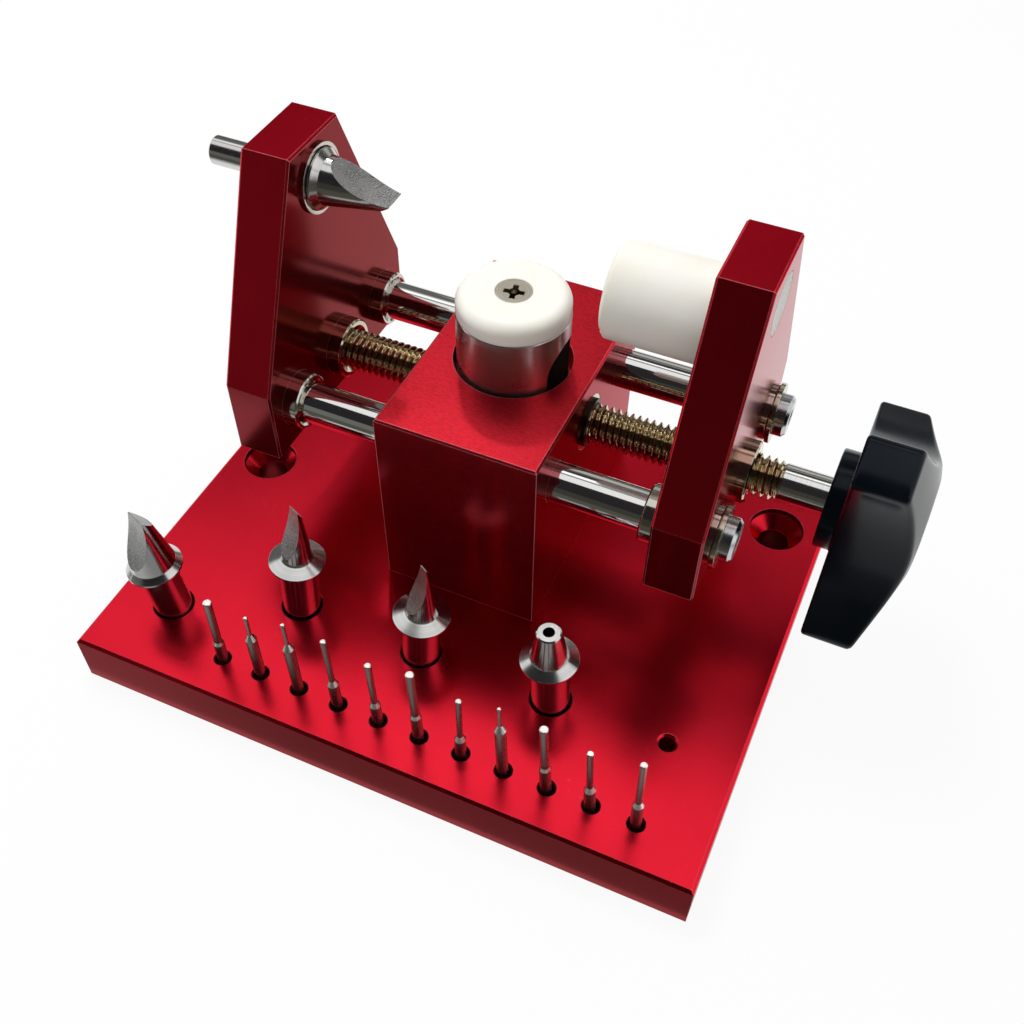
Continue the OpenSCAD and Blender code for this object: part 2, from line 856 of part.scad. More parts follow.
// Plastic pad pressed through the right arm, grooved across its free end
module jaw() {
    x0 = right_in_x - jaw_out;
    b = 0.8;
    groove_z = jaw_z - groove_drop;
    color("ivory")
        difference() {
            union() {
                taper(x0, b, jaw_d - 2 * b, jaw_d, mid_y, jaw_z);
                bar(x0 + b, jaw_out - b, jaw_d, mid_y, jaw_z);
                bar(right_in_x - skin, arm_t + skin, jaw_stem_d, mid_y, blade_z);
                bar(right_in_x + 1, arm_t - 2, jaw_stem_d + 0.3, mid_y, blade_z);
            }
            translate([x0, mid_y, groove_z])
                rotate([0, 45, 0])
                    cube([jaw_groove * 1.42, jaw_d + 2, jaw_groove * 1.42], center = true);
        }
}

// Tips

// Shank, tail and collar of a tip, the collar's rim at z = 0 and the nose above
module tip_body(len, nose_d) {
    rc = tip_collar_d / 2;
    rs = tip_shank_d / 2;
    rt = tip_tail_d / 2;
    e = tip_end_bevel;
    rotate_extrude()
        polygon([
            [0, -len], [rt - e, -len], [rt, -len + e], [rt, -tip_shank_len],
            [rs - e, -tip_shank_len], [rs, -tip_shank_len + e],
            [rs, -tip_seat_h], [rc, -tip_rim / 2], [rc, tip_rim / 2],
            [nose_d / 2, tip_cone_h], [0, tip_cone_h]
        ]);
}

// Side view of a ground blade: hollow on the front, relieved on the back
module blade_profile(base_r, edge_z, back) {
    heel_z = tip_cone_h + 1.2;
    toe = 0.1;
    toe_x = toe - back;
    dx = base_r - toe_x;
    dz = edge_z - heel_z;
    chord = sqrt(dx * dx + dz * dz);
    reach = sqrt(grind_r * grind_r - chord * chord / 4);
    cx = (base_r + toe_x) / 2 + reach * dz / chord;
    cz = (heel_z + edge_z) / 2 + reach * dx / chord;
    relief_z = edge_z * 0.62;
    difference() {
        polygon([
            [-base_r, 0], [base_r, 0], [base_r, edge_z],
            [-toe - back, edge_z], [-base_r, relief_z]
        ]);
        translate([cx, cz])
            circle(r = grind_r, $fn = 120);
        translate([base_r, heel_z])
            square([base_r, edge_z]);
    }
}

// Blade tip standing on z = 0, its ground face looking along +X
module blade_tip(len, base_d, edge_w, edge_z) {
    tip_body(len, base_d);
    intersection() {
        translate([0, 0, tip_cone_h - skin])
            cylinder(h = edge_z - tip_cone_h + skin, d1 = base_d, d2 = edge_w);
        rotate([90, 0, 0])
            linear_extrude(height = tip_collar_d, center = true)
                blade_profile(base_d / 2, edge_z, edge_back * edge_w);
    }
}

// Moves a tip from the origin to its hole in the base, leaning as it stands
module in_base(t) {
    translate([t[0], t[1], base_h])
        rotate([-t[4], t[3], 0])
            translate([0, 0, t[2]])
                children();
}

function stored_len(t) = t[2] + tip_hole_depth - 0.6;

module mounted_blade() {
    collar_x = left_in_x + blade_flange_t + 0.4;
    color("silver")
        translate([collar_x, mid_y, blade_z])
            rotate([0, 90, 0])
                rotate([0, 0, 180])
                    blade_tip(blade_tail, wide_base_d, wide_edge_w, blade_len);
}

module wide_blade() {
    color("silver")
        in_base(stored[0])
            rotate([0, 0, -112])
                blade_tip(stored_len(stored[0]), wide_base_d, wide_edge_w, wide_blade_h);
}

module narrow_blade() {
    color("silver")
        in_base(stored[1])
            rotate([0, 0, -118])
                blade_tip(stored_len(stored[1]), slim_base_d, narrow_edge_w, slim_blade_h);
}

module fine_blade() {
    color("silver")
        in_base(stored[2])
            rotate([0, 0, -122])
                blade_tip(stored_len(stored[2]), slim_base_d, fine_edge_w, slim_blade_h);
}

// Punch holder: a cone with a bore for a pin
module pin_holder() {
    b = 0.3;
    cone_h = holder_h - b - tip_cone_h + skin;
    color("silver")
        in_base(stored[3])
            difference() {
                union() {
                    tip_body(stored_len(stored[3]), holder_base_d);
                    translate([0, 0, tip_cone_h - skin])
                        cylinder(h = cone_h, d1 = holder_base_d, d2 = holder_top_d);
                    translate([0, 0, holder_h - b])
                        cylinder(h = b, d1 = holder_top_d, d2 = holder_top_d - 2 * b);
                }
                translate([0, 0, holder_h - holder_bore])
                    cylinder(h = holder_bore + 1, d = pin_shank_d);
            }
}

// Pins

// A punch pin, leaning about the middle of its hole
module pin(i) {
    p = pins[i];
    pivot = pin_hole_depth / 2;
    foot = -pin_hole_depth + 0.3;
    rs = pin_shank_d / 2;
    rt = p[2] / 2;
    cone = 1.6 * (rs - rt) + 0.4;
    b = 0.15;
    color("silver")
        translate([pin_x(i), pin_row_y, base_h - pivot])
            rotate([0, p[3], 0])
                translate([0, 0, pivot])
                    rotate_extrude()
                        polygon([
                            [0, foot], [rs - b, foot], [rs, foot + b],
                            [rs, p[1] - cone], [rt, p[1]],
                            [rt, p[0] - b], [rt - b, p[0]], [0, p[0]]
                        ]);
}

base_plate();
centre_block();
block_screws();
guide_rod(rod_y[0]);  // guide_rod_front
guide_rod(rod_y[1]);  // guide_rod_rear
rod_set_screws();
rod_end_washers();
rod_end_screws();
screw_bush(-block_w / 2);  // screw_bush_left
screw_bush(block_w / 2 - screw_bush_len);  // screw_bush_right
leadscrew();
retaining_rings();
knob();
knob_insert();
support_post();
post_spring();
cap();
cap_screw();
left_arm();
left_bush(rod_y[0]);  // left_bush_front
left_bush(rod_y[1]);  // left_bush_rear
left_nut();
blade_bush();
mounted_blade();
right_arm();
right_bush(rod_y[0]);  // right_bush_front
right_bush(rod_y[1]);  // right_bush_rear
right_nut();
jaw();
wide_blade();
narrow_blade();
fine_blade();
pin_holder();
pin(0);  // pin_1
pin(1);  // pin_2
pin(2);  // pin_3
pin(3);  // pin_4
pin(4);  // pin_5
pin(5);  // pin_6
pin(6);  // pin_7
pin(7);  // pin_8
pin(8);  // pin_9
pin(9);  // pin_10
pin(10);  // pin_11
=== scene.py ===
"""Looks for a watch bench tool.

Two red arms close along rods towards a sprung post, and tips and pins stand in the base.
"""

import json
import math

import bmesh
import bpy
from bpy.props import BoolProperty, FloatProperty, FloatVectorProperty, IntProperty, PointerProperty
from bpy.types import Operator, Panel, PropertyGroup
from mathutils import Matrix, Vector


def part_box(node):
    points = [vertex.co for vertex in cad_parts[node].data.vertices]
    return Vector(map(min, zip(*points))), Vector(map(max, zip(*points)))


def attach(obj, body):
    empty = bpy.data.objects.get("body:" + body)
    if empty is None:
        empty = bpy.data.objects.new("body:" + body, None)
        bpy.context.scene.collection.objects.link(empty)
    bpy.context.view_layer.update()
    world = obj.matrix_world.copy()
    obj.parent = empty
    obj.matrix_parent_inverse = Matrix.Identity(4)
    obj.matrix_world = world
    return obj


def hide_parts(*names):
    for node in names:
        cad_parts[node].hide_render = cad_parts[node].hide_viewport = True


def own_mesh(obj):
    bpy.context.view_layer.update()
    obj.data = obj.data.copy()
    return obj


bl_info = {
    "name": "Watch bench tool",
    "version": (1, 0, 0),
    "blender": (4, 5, 0),
    "location": "3D View > Sidebar > Bench tool",
    "description": "Builds the finishes, the threads, the knob and the stage of a watch bench tool",
    "category": "Object",
}

MM = 0.001
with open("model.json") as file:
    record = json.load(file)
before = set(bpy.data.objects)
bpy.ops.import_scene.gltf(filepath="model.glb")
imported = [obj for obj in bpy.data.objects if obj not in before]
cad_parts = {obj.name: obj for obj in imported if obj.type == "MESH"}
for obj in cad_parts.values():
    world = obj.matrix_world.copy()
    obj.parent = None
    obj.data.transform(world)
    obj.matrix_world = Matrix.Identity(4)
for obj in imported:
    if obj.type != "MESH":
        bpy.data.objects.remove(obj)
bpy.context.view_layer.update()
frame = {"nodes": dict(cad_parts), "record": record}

# Axes of the leadscrew and the blade, the top of the base and the rods' places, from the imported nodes
screw_low, screw_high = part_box("leadscrew")
MID_Y = (screw_low.y + screw_high.y) / 2
AXIS_Z = (screw_low.z + screw_high.z) / 2
blade_low, blade_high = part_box("mounted_blade")
BLADE_Z = (blade_low.z + blade_high.z) / 2
BASE_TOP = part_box("base_plate")[1].z
ROD_Y = [sum(c.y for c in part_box(n)) / 2 for n in ("guide_rod_front", "guide_rod_rear")]


def srgb(r, g, b):
    """Linear colour from the 0 to 255 values seen on screen."""
    out = []
    for c in (r, g, b):
        c /= 255
        out.append(c / 12.92 if c <= 0.04045 else ((c + 0.055) / 1.055) ** 2.4)
    return (*out, 1.0)


# Settings


# Bare metal and small pieces: setting, label, what it colours, colour as seen on screen
METALS = (
    ("chrome", "Rod chrome", "the guide rods and the leadscrew's stem", (226, 226, 224)),
    ("nickel", "Thread nickel", "the leadscrew's thread", (204, 188, 154)),
    ("ring", "Ring steel", "the retaining rings", (62, 54, 46)),
    ("bush", "Bush steel", "the bushes of the guide rods", (206, 202, 192)),
    ("nut", "Nut nickel", "the nuts and the leadscrew's bushes", (208, 196, 172)),
    ("end_screw", "End screw steel", "the screws in the rods' ends", (200, 202, 204)),
    ("washer", "Washer nickel", "the washers on the rods' ends", (206, 196, 176)),
    ("dark_steel", "Blackened steel", "hidden screws and the spring", (70, 70, 74)),
    ("insert", "Insert brass", "the knob's insert", (196, 168, 104)),
    ("post", "Post steel", "the support post", (214, 206, 204)),
    ("cap_screw", "Cap screw nickel", "the cap screw's head", (232, 225, 208)),
    # Painted shade: a darker nickel for the faces of the cross recess
    ("recess", "Shaded recess nickel", "the cross recess", (150, 138, 116)),
    ("tip", "Tip steel", "the turned parts of the tips", (208, 208, 206)),
    ("ground", "Ground steel", "the ground faces of the tips", (188, 188, 187)),
    ("blade_bush", "Blade bush steel", "the bush of the mounted blade", (206, 200, 190)),
    # Painted highlight: a near-white for the pins' upward end faces
    ("pin_end", "Pin ends", "the pins' end faces", (250, 248, 242)),
)


class MetalSettings(PropertyGroup):
    """Colours of the metal pieces"""
    __annotations__ = {
        key: FloatVectorProperty(name=label, description="Colour of " + part, subtype="COLOR", size=4, min=0,
                                 max=1, default=srgb(*seen))
        for key, label, part, seen in METALS
    }


class FinishSettings(PropertyGroup):
    """Colours and gloss of the dyed and moulded pieces"""
    red: FloatVectorProperty(
        name="Anodised red", description="Colour of the plates' upper faces",
        subtype="COLOR", size=4, min=0, max=1, default=srgb(229, 34, 54))
    # Painted shade: a darker red for the plates' sides, which face away from the light
    shaded_side_red: FloatVectorProperty(
        name="Deep red", description="Colour of the plates' milled sides",
        subtype="COLOR", size=4, min=0, max=1, default=srgb(120, 10, 22))
    # Painted light: a lighter copy of the plate red that makes the block's top brighter
    lit_block_red: FloatVectorProperty(
        name="Block top", description="Red of the centre block's matt top",
        subtype="COLOR", size=4, min=0, max=1, default=srgb(254, 52, 68))
    edge_tint: FloatVectorProperty(
        name="Red at a low angle", description="Colour of the plates seen at a low angle",
        subtype="COLOR", size=4, min=0, max=1, default=(1.0, 0.42, 0.45, 1.0))
    # Partly wear and partly painted highlight: the pale red that the edge mask puts on the plates' edges
    worn_and_lit_edge: FloatVectorProperty(
        name="Worn and lit edge", description="Pale red of the plates' outer edges",
        subtype="COLOR", size=4, min=0, max=1, default=(0.98, 0.42, 0.45, 1.0))
    # Painted glints: pale specks mixed into the red as sparkle of light
    glint: FloatVectorProperty(
        name="Glint", description="Colour of the few bright specks in the dye",
        subtype="COLOR", size=4, min=0, max=1, default=(0.95, 0.45, 0.45, 1.0))
    red_roughness: FloatProperty(
        name="Plate roughness", description="How satin the dyed plates are",
        subtype="FACTOR", min=0.05, max=1, default=0.3)
    nylon: FloatVectorProperty(
        name="Nylon", description="Colour of cap and jaw",
        subtype="COLOR", size=4, min=0, max=1, default=srgb(237, 235, 228))
    black: FloatVectorProperty(
        name="Knob black", description="Colour of the moulded knob",
        subtype="COLOR", size=4, min=0, max=1, default=srgb(7, 13, 20))
    pin_grey: IntProperty(
        name="Pin grey", description="Darkest grey of the pins, from 0 to 255 as seen on screen",
        min=0, max=230, default=164)


class ThreadSettings(PropertyGroup):
    """Sizes of the leadscrew"""
    pitch: FloatProperty(
        name="Pitch", description="Distance between crests",
        unit="LENGTH", precision=5, min=0.5 * MM, max=4 * MM, default=1.75 * MM)
    crest: FloatProperty(
        name="Crest radius", description="Outer radius of the thread",
        unit="LENGTH", precision=5, default=5 * MM)
    root: FloatProperty(
        name="Root radius", description="Inner radius of the thread",
        unit="LENGTH", precision=5, default=3.92 * MM)
    stem: FloatProperty(
        name="Stem radius", description="Radius of the plain end towards the knob",
        unit="LENGTH", precision=5, default=4.65 * MM)
    spigot: FloatProperty(
        name="Spigot radius", description="Radius of the end inside the knob",
        unit="LENGTH", precision=5, default=4 * MM)
    out: FloatProperty(
        name="Thread beyond arm", description="Length of thread outside the right arm",
        unit="LENGTH", precision=5, default=9 * MM)
    journal: FloatProperty(
        name="Journal step", description="Plain length outside each face of the block",
        unit="LENGTH", precision=5, default=1.2 * MM)
    steps: IntProperty(
        name="Steps per turn", description="Points round one turn",
        min=12, max=128, default=48)


class KnobSettings(PropertyGroup):
    """Sizes of the knob"""
    lobe_radius: FloatProperty(
        name="Lobe radius", description="Distance of the lobes' ends from the axis",
        unit="LENGTH", precision=5, default=32.25 * MM)
    lobe_width: FloatProperty(
        name="Lobe width", description="Width of a lobe at its end",
        unit="LENGTH", precision=5, default=12 * MM)
    corner: FloatProperty(
        name="Lobe corner", description="Rounding of the lobes' corners",
        unit="LENGTH", precision=5, default=2.4 * MM)
    waist: FloatProperty(
        name="Waist radius", description="Distance of the bays from the axis",
        unit="LENGTH", precision=5, default=15 * MM)
    rounding: FloatProperty(
        name="Edge rounding", description="Rounding along the rim's edges",
        unit="LENGTH", precision=5, default=0.9 * MM)
    flat_radius: FloatProperty(
        name="Flat radius", description="Radius of the flat middle of the face",
        unit="LENGTH", precision=5, default=12 * MM)
    hub_length: FloatProperty(
        name="Hub length", description="Length of the hub behind the rim",
        unit="LENGTH", precision=5, default=4 * MM)
    hub_radius: FloatProperty(
        name="Hub radius", description="Radius of the hub",
        unit="LENGTH", precision=5, default=11.6 * MM)
    bore_radius: FloatProperty(
        name="Bore radius", description="Radius of the hole for the stem",
        unit="LENGTH", precision=5, default=4.5 * MM)
    rim_thickness: FloatProperty(
        name="Rim thickness", description="Thickness of the knob at its rim",
        unit="LENGTH", precision=5, default=11.7 * MM)
    turn: FloatProperty(
        name="Turn", description="Direction of the first lobe",
        subtype="ANGLE", default=math.radians(-2))


class StageSettings(PropertyGroup):
    """Levels of the light"""
    key_power: FloatProperty(
        name="Top light", description="Power of the large light above",
        unit="POWER", min=0, default=5)
    side_power: FloatProperty(
        name="Spark light", description="Power of the small light at the back",
        unit="POWER", min=0, default=0.13)
    fill: FloatProperty(
        name="Fill", description="Level of the even light from all round",
        min=0, max=2, default=0.45)
    floor_glow: FloatProperty(
        name="Floor glow", description="Share of plain white in the open floor",
        subtype="FACTOR", min=0, max=1, default=0.93)
    show_boards: BoolProperty(
        name="Boards", description="Boards that only reflections see", default=True)


class BenchToolSettings(PropertyGroup):
    """All settings of the bench tool"""
    finish: PointerProperty(type=FinishSettings, name="Finish", description="Colours and roughness")
    metal: PointerProperty(type=MetalSettings, name="Metal", description="Colours of the metal pieces")
    thread: PointerProperty(type=ThreadSettings, name="Thread", description="Leadscrew thread")
    knob: PointerProperty(type=KnobSettings, name="Knob", description="Shape of the knob")
    stage: PointerProperty(type=StageSettings, name="Stage", description="Lights and backdrop")


def settings():
    """The settings of this scene."""
    return bpy.context.scene.bench_tool


def joint_of(body):
    """The joint that moves a body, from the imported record."""
    return next(j for j in frame["record"]["behaviour"]["joints"] if j["child"] == body)


# Node helpers


def feed(tree, value, socket):
    """Links a socket's value, or sets a plain one."""
    if hasattr(value, "links"):
        tree.links.new(value, socket)
    else:
        socket.default_value = value


def new_node(tree, kind, x=0, y=0, **values):
    """A node at x, y whose properties and unlinked inputs are set from values."""
    made = tree.nodes.new(kind)
    made.location = (x, y)
    for key, value in values.items():
        if hasattr(made, key):
            setattr(made, key, value)
        else:
            made.inputs[key.replace("_", " ")].default_value = value
    return made


def maths(tree, operation, a, b=None, x=0, y=0, clamp=False):
    made = new_node(tree, "ShaderNodeMath", x, y, operation=operation, use_clamp=clamp)
    feed(tree, a, made.inputs[0])
    if b is not None:
        feed(tree, b, made.inputs[1])
    return made.outputs[0]


def map_range(tree, value, low, high, to_low, to_high, x=0, y=0):
    made = new_node(tree, "ShaderNodeMapRange", x, y)
    tree.links.new(value, made.inputs["Value"])
    for name, number in (("From Min", low), ("From Max", high), ("To Min", to_low), ("To Max", to_high)):
        made.inputs[name].default_value = number
    return made.outputs["Result"]


def mix_colour(tree, factor, a, b, x=0, y=0):
    made = new_node(tree, "ShaderNodeMix", x, y, data_type="RGBA")
    for value, socket in ((factor, 0), (a, 6), (b, 7)):
        feed(tree, value, made.inputs[socket])
    return made.outputs[2]


def new_group(name, inputs, outputs):
    """An empty shader group with named sockets: (tree, input node, output node)."""
    tree = bpy.data.node_groups.new(name, "ShaderNodeTree")
    for label, kind, default in inputs:
        socket = tree.interface.new_socket(name=label, in_out="INPUT", socket_type=kind)
        socket.default_value = default
    for label, kind in outputs:
        tree.interface.new_socket(name=label, in_out="OUTPUT", socket_type=kind)
    return tree, new_node(tree, "NodeGroupInput", -900), new_node(tree, "NodeGroupOutput", 700)


def place_group(tree, name, x=0, y=0, **values):
    made = new_node(tree, "ShaderNodeGroup", x, y, node_tree=bpy.data.node_groups[name])
    for key, value in values.items():
        feed(tree, value, made.inputs[key.replace("_", " ")])
    return made


# Shared effects


def make_edge_wear():
    """Mask of the outer edges, from how far a rounded normal leans away from the true one."""
    tree, given, out = new_group(
        "Edge wear", [("Width", "NodeSocketFloat", 0.3 * MM), ("Strength", "NodeSocketFloat", 4.0)],
        [("Mask", "NodeSocketFloat"), ("Normal", "NodeSocketVector")])
    soft = new_node(tree, "ShaderNodeBevel", -600, 100, samples=6)
    tree.links.new(given.outputs["Width"], soft.inputs["Radius"])
    true = new_node(tree, "ShaderNodeNewGeometry", -600, -150)
    dot = new_node(tree, "ShaderNodeVectorMath", -350, 0, operation="DOT_PRODUCT")
    tree.links.new(soft.outputs[0], dot.inputs[0])
    tree.links.new(true.outputs["Normal"], dot.inputs[1])
    lean = maths(tree, "SUBTRACT", 1.0, dot.outputs["Value"], -150, 0)
    mask = maths(tree, "MULTIPLY", lean, given.outputs["Strength"], 50, 0, clamp=True)
    tree.links.new(mask, out.inputs["Mask"])
    tree.links.new(soft.outputs[0], out.inputs["Normal"])


def make_fine_grain():
    """Directional grain: a noise in object space, stretched by Stretch, plus a softer cloud."""
    tree, given, out = new_group(
        "Fine grain",
        [("Stretch", "NodeSocketVector", (1.0, 1.0, 1.0)), ("Scale", "NodeSocketFloat", 2500.0),
         ("Cloud Scale", "NodeSocketFloat", 60.0)],
        [("Grain", "NodeSocketFloat"), ("Cloud", "NodeSocketFloat"), ("Specks", "NodeSocketFloat")])
    where = new_node(tree, "ShaderNodeTexCoord", -900, 250)
    scaled = new_node(tree, "ShaderNodeVectorMath", -650, 200, operation="MULTIPLY")
    tree.links.new(where.outputs["Object"], scaled.inputs[0])
    tree.links.new(given.outputs["Stretch"], scaled.inputs[1])
    grain = new_node(tree, "ShaderNodeTexNoise", -400, 250, Detail=3.0, Roughness=0.65)
    tree.links.new(scaled.outputs[0], grain.inputs["Vector"])
    tree.links.new(given.outputs["Scale"], grain.inputs["Scale"])
    cloud = new_node(tree, "ShaderNodeTexNoise", -400, -50, Detail=3.0, Roughness=0.5)
    tree.links.new(where.outputs["Object"], cloud.inputs["Vector"])
    tree.links.new(given.outputs["Cloud Scale"], cloud.inputs["Scale"])
    # Rare tiny specks, which the red plates take as painted glints
    specks = new_node(tree, "ShaderNodeTexVoronoi", -400, -350)
    tree.links.new(where.outputs["Object"], specks.inputs["Vector"])
    specks.inputs["Scale"].default_value = 420.0
    tiny = map_range(tree, specks.outputs["Distance"], 0.0, 0.16, 1.0, 0.0, -150, -350)
    rare = new_node(tree, "ShaderNodeTexNoise", -400, -600, Scale=90.0)
    tree.links.new(where.outputs["Object"], rare.inputs["Vector"])
    few = map_range(tree, rare.outputs[0], 0.62, 0.66, 0.0, 1.0, -150, -600)
    tree.links.new(grain.outputs[0], out.inputs["Grain"])
    tree.links.new(cloud.outputs[0], out.inputs["Cloud"])
    tree.links.new(maths(tree, "MULTIPLY", tiny, few, 100, -400, clamp=True), out.inputs["Specks"])


def make_turned_marks():
    """Fine lathe rings round an axis through Centre: a noise that runs along the axis and outwards."""
    tree, given, out = new_group(
        "Turned marks", [("Centre", "NodeSocketVector", (0.0, 0.0, 0.0)),
                         ("Axis", "NodeSocketVector", (1.0, 0.0, 0.0)),
                         ("Rings per mm", "NodeSocketFloat", 6.0)],
        [("Rings", "NodeSocketFloat")])
    where = new_node(tree, "ShaderNodeTexCoord", -900, 250)
    rel = new_node(tree, "ShaderNodeVectorMath", -700, 200, operation="SUBTRACT")
    tree.links.new(where.outputs["Object"], rel.inputs[0])
    tree.links.new(given.outputs["Centre"], rel.inputs[1])
    along = new_node(tree, "ShaderNodeVectorMath", -500, 200, operation="DOT_PRODUCT")
    tree.links.new(rel.outputs[0], along.inputs[0])
    tree.links.new(given.outputs["Axis"], along.inputs[1])
    back = new_node(tree, "ShaderNodeVectorMath", -500, -50, operation="SCALE")
    tree.links.new(given.outputs["Axis"], back.inputs[0])
    tree.links.new(along.outputs["Value"], back.inputs["Scale"])
    out_vec = new_node(tree, "ShaderNodeVectorMath", -300, 0, operation="SUBTRACT")
    tree.links.new(rel.outputs[0], out_vec.inputs[0])
    tree.links.new(back.outputs[0], out_vec.inputs[1])
    radius = new_node(tree, "ShaderNodeVectorMath", -120, 0, operation="LENGTH")
    tree.links.new(out_vec.outputs[0], radius.inputs[0])
    path = maths(tree, "ADD", along.outputs["Value"], radius.outputs["Value"], 50, 100)
    per_m = maths(tree, "MULTIPLY", given.outputs["Rings per mm"], 1000.0, 50, -100)
    rings = new_node(tree, "ShaderNodeTexNoise", 350, 100, noise_dimensions="1D", Detail=2.0)
    tree.links.new(maths(tree, "MULTIPLY", path, per_m, 200, 100), rings.inputs["W"])
    rings.inputs["Scale"].default_value = 1.0
    tree.links.new(rings.outputs[0], out.inputs["Rings"])


def make_upper_faces():
    """Mask of the faces that look up, in the piece's own space."""
    tree, given, out = new_group(
        "Upper faces", [("Softness", "NodeSocketFloat", 0.1)], [("Mask", "NodeSocketFloat")])
    where = new_node(tree, "ShaderNodeTexCoord", -900, 0)
    parts = new_node(tree, "ShaderNodeSeparateXYZ", -650, 0)
    tree.links.new(where.outputs["Normal"], parts.inputs[0])
    rise = maths(tree, "SUBTRACT", parts.outputs["Z"], 0.3, -400, 0)
    mask = maths(tree, "DIVIDE", rise, given.outputs["Softness"], -200, 0)
    tree.links.new(maths(tree, "ADD", mask, 0.5, 0, 0, clamp=True), out.inputs["Mask"])


def make_smudges():
    """Slow change in gloss from handling and oil."""
    tree, given, out = new_group(
        "Smudges", [("Scale", "NodeSocketFloat", 90.0)], [("Gloss", "NodeSocketFloat")])
    where = new_node(tree, "ShaderNodeTexCoord", -900, 250)
    cloud = new_node(tree, "ShaderNodeTexNoise", -500, 200, Detail=4.0, Roughness=0.6, Distortion=0.6)
    tree.links.new(where.outputs["Object"], cloud.inputs["Vector"])
    tree.links.new(given.outputs["Scale"], cloud.inputs["Scale"])
    tree.links.new(cloud.outputs[0], out.inputs["Gloss"])


# Finishes


def new_material(name):
    made = bpy.data.materials.new(name)
    made.use_nodes = True
    tree = made.node_tree
    shader = tree.nodes["Principled BSDF"]
    shader.location = (500, 0)
    tree.nodes["Material Output"].location = (800, 0)
    return made, tree, shader


def bump(tree, height, strength, distance, normal=None):
    made = new_node(tree, "ShaderNodeBump", 250, -400, Strength=strength, Distance=distance)
    tree.links.new(height, made.inputs["Height"])
    if normal is not None:
        tree.links.new(normal, made.inputs["Normal"])
    return made.outputs[0]


def anodised_red(name, red, stretch, roughness, side_roughness, side_shade_level, speckle, coat, worn):
    """Dyed, anodised aluminium: satin upper faces, clearer milled sides with painted shade, painted
    highlight on pale edges.

    stretch draws the grain along an axis, side_shade_level scales the painted shade in the sides' colour,
    speckle is the grain's contrast, coat the clear layer on the sides and worn the share of pale edge, which
    is partly wear and partly painted highlight; a few pale specks are painted glints.
    """
    finish = settings().finish
    made, tree, shader = new_material(name)
    shader.inputs["Coat Roughness"].default_value = side_roughness
    shader.inputs["Coat IOR"].default_value = 1.5
    shader.inputs["Specular Tint"].default_value = tuple(finish.edge_tint)
    grain = place_group(tree, "Fine grain", -1000, 200, Stretch=stretch, Scale=2600.0, Cloud_Scale=45.0)
    wear = place_group(tree, "Edge wear", -1000, -300, Width=0.3 * MM, Strength=7.0)
    top = place_group(tree, "Upper faces", -1000, -50).outputs["Mask"]
    # Painted shade: the sides take the darker red, the upper faces the plate red
    deep = tuple(c * side_shade_level for c in finish.shaded_side_red[:3]) + (1.0,)
    colour = mix_colour(tree, top, deep, tuple(red), -600, 350)
    dots = map_range(tree, grain.outputs["Grain"], 0.36, 0.66, 1 - speckle, 1 + speckle * 0.8, -800, 300)
    patches = map_range(tree, grain.outputs["Cloud"], 0.3, 0.7, 0.93, 1.04, -800, 120)
    level = maths(tree, "MULTIPLY", dots, patches, -600, 150)
    scaled = new_node(tree, "ShaderNodeVectorMath", -400, 300, operation="SCALE")
    tree.links.new(colour, scaled.inputs[0])
    tree.links.new(level, scaled.inputs["Scale"])
    # Pale edges, partly wear and partly painted highlight, where the plates lose their metal look
    pale = maths(tree, "MULTIPLY", wear.outputs["Mask"], worn, -400, -200)
    colour = mix_colour(tree, pale, scaled.outputs[0], tuple(finish.worn_and_lit_edge), -150, 250)
    metal = map_range(tree, top, 0.0, 1.0, 0.75, 1.0, -400, 450)
    metal = maths(tree, "SUBTRACT", metal, pale, -150, 450, clamp=True)
    tree.links.new(metal, shader.inputs["Metallic"])
    # Painted glints: rare specks take the pale glint colour
    glint = maths(tree, "MULTIPLY", grain.outputs["Specks"], 0.12, -400, 0)
    colour = mix_colour(tree, glint, colour, tuple(finish.glint), 100, 250)
    tree.links.new(colour, shader.inputs["Base Color"])
    satin = map_range(tree, grain.outputs["Grain"], 0.3, 0.7, 0.94, 1.07, -400, -60)
    more = maths(tree, "MULTIPLY", top, roughness - side_roughness, -600, -60)
    rough = maths(tree, "ADD", side_roughness, more, -400, -120)
    tree.links.new(maths(tree, "MULTIPLY", satin, rough, -150, -60), shader.inputs["Roughness"])
    side = maths(tree, "SUBTRACT", 1.0, top, -600, -200)
    tree.links.new(maths(tree, "MULTIPLY", side, coat, -400, -300), shader.inputs["Coat Weight"])
    tree.links.new(bump(tree, grain.outputs["Grain"], 0.03, 0.03 * MM, wear.outputs["Normal"]),
                   shader.inputs["Normal"])
    return made


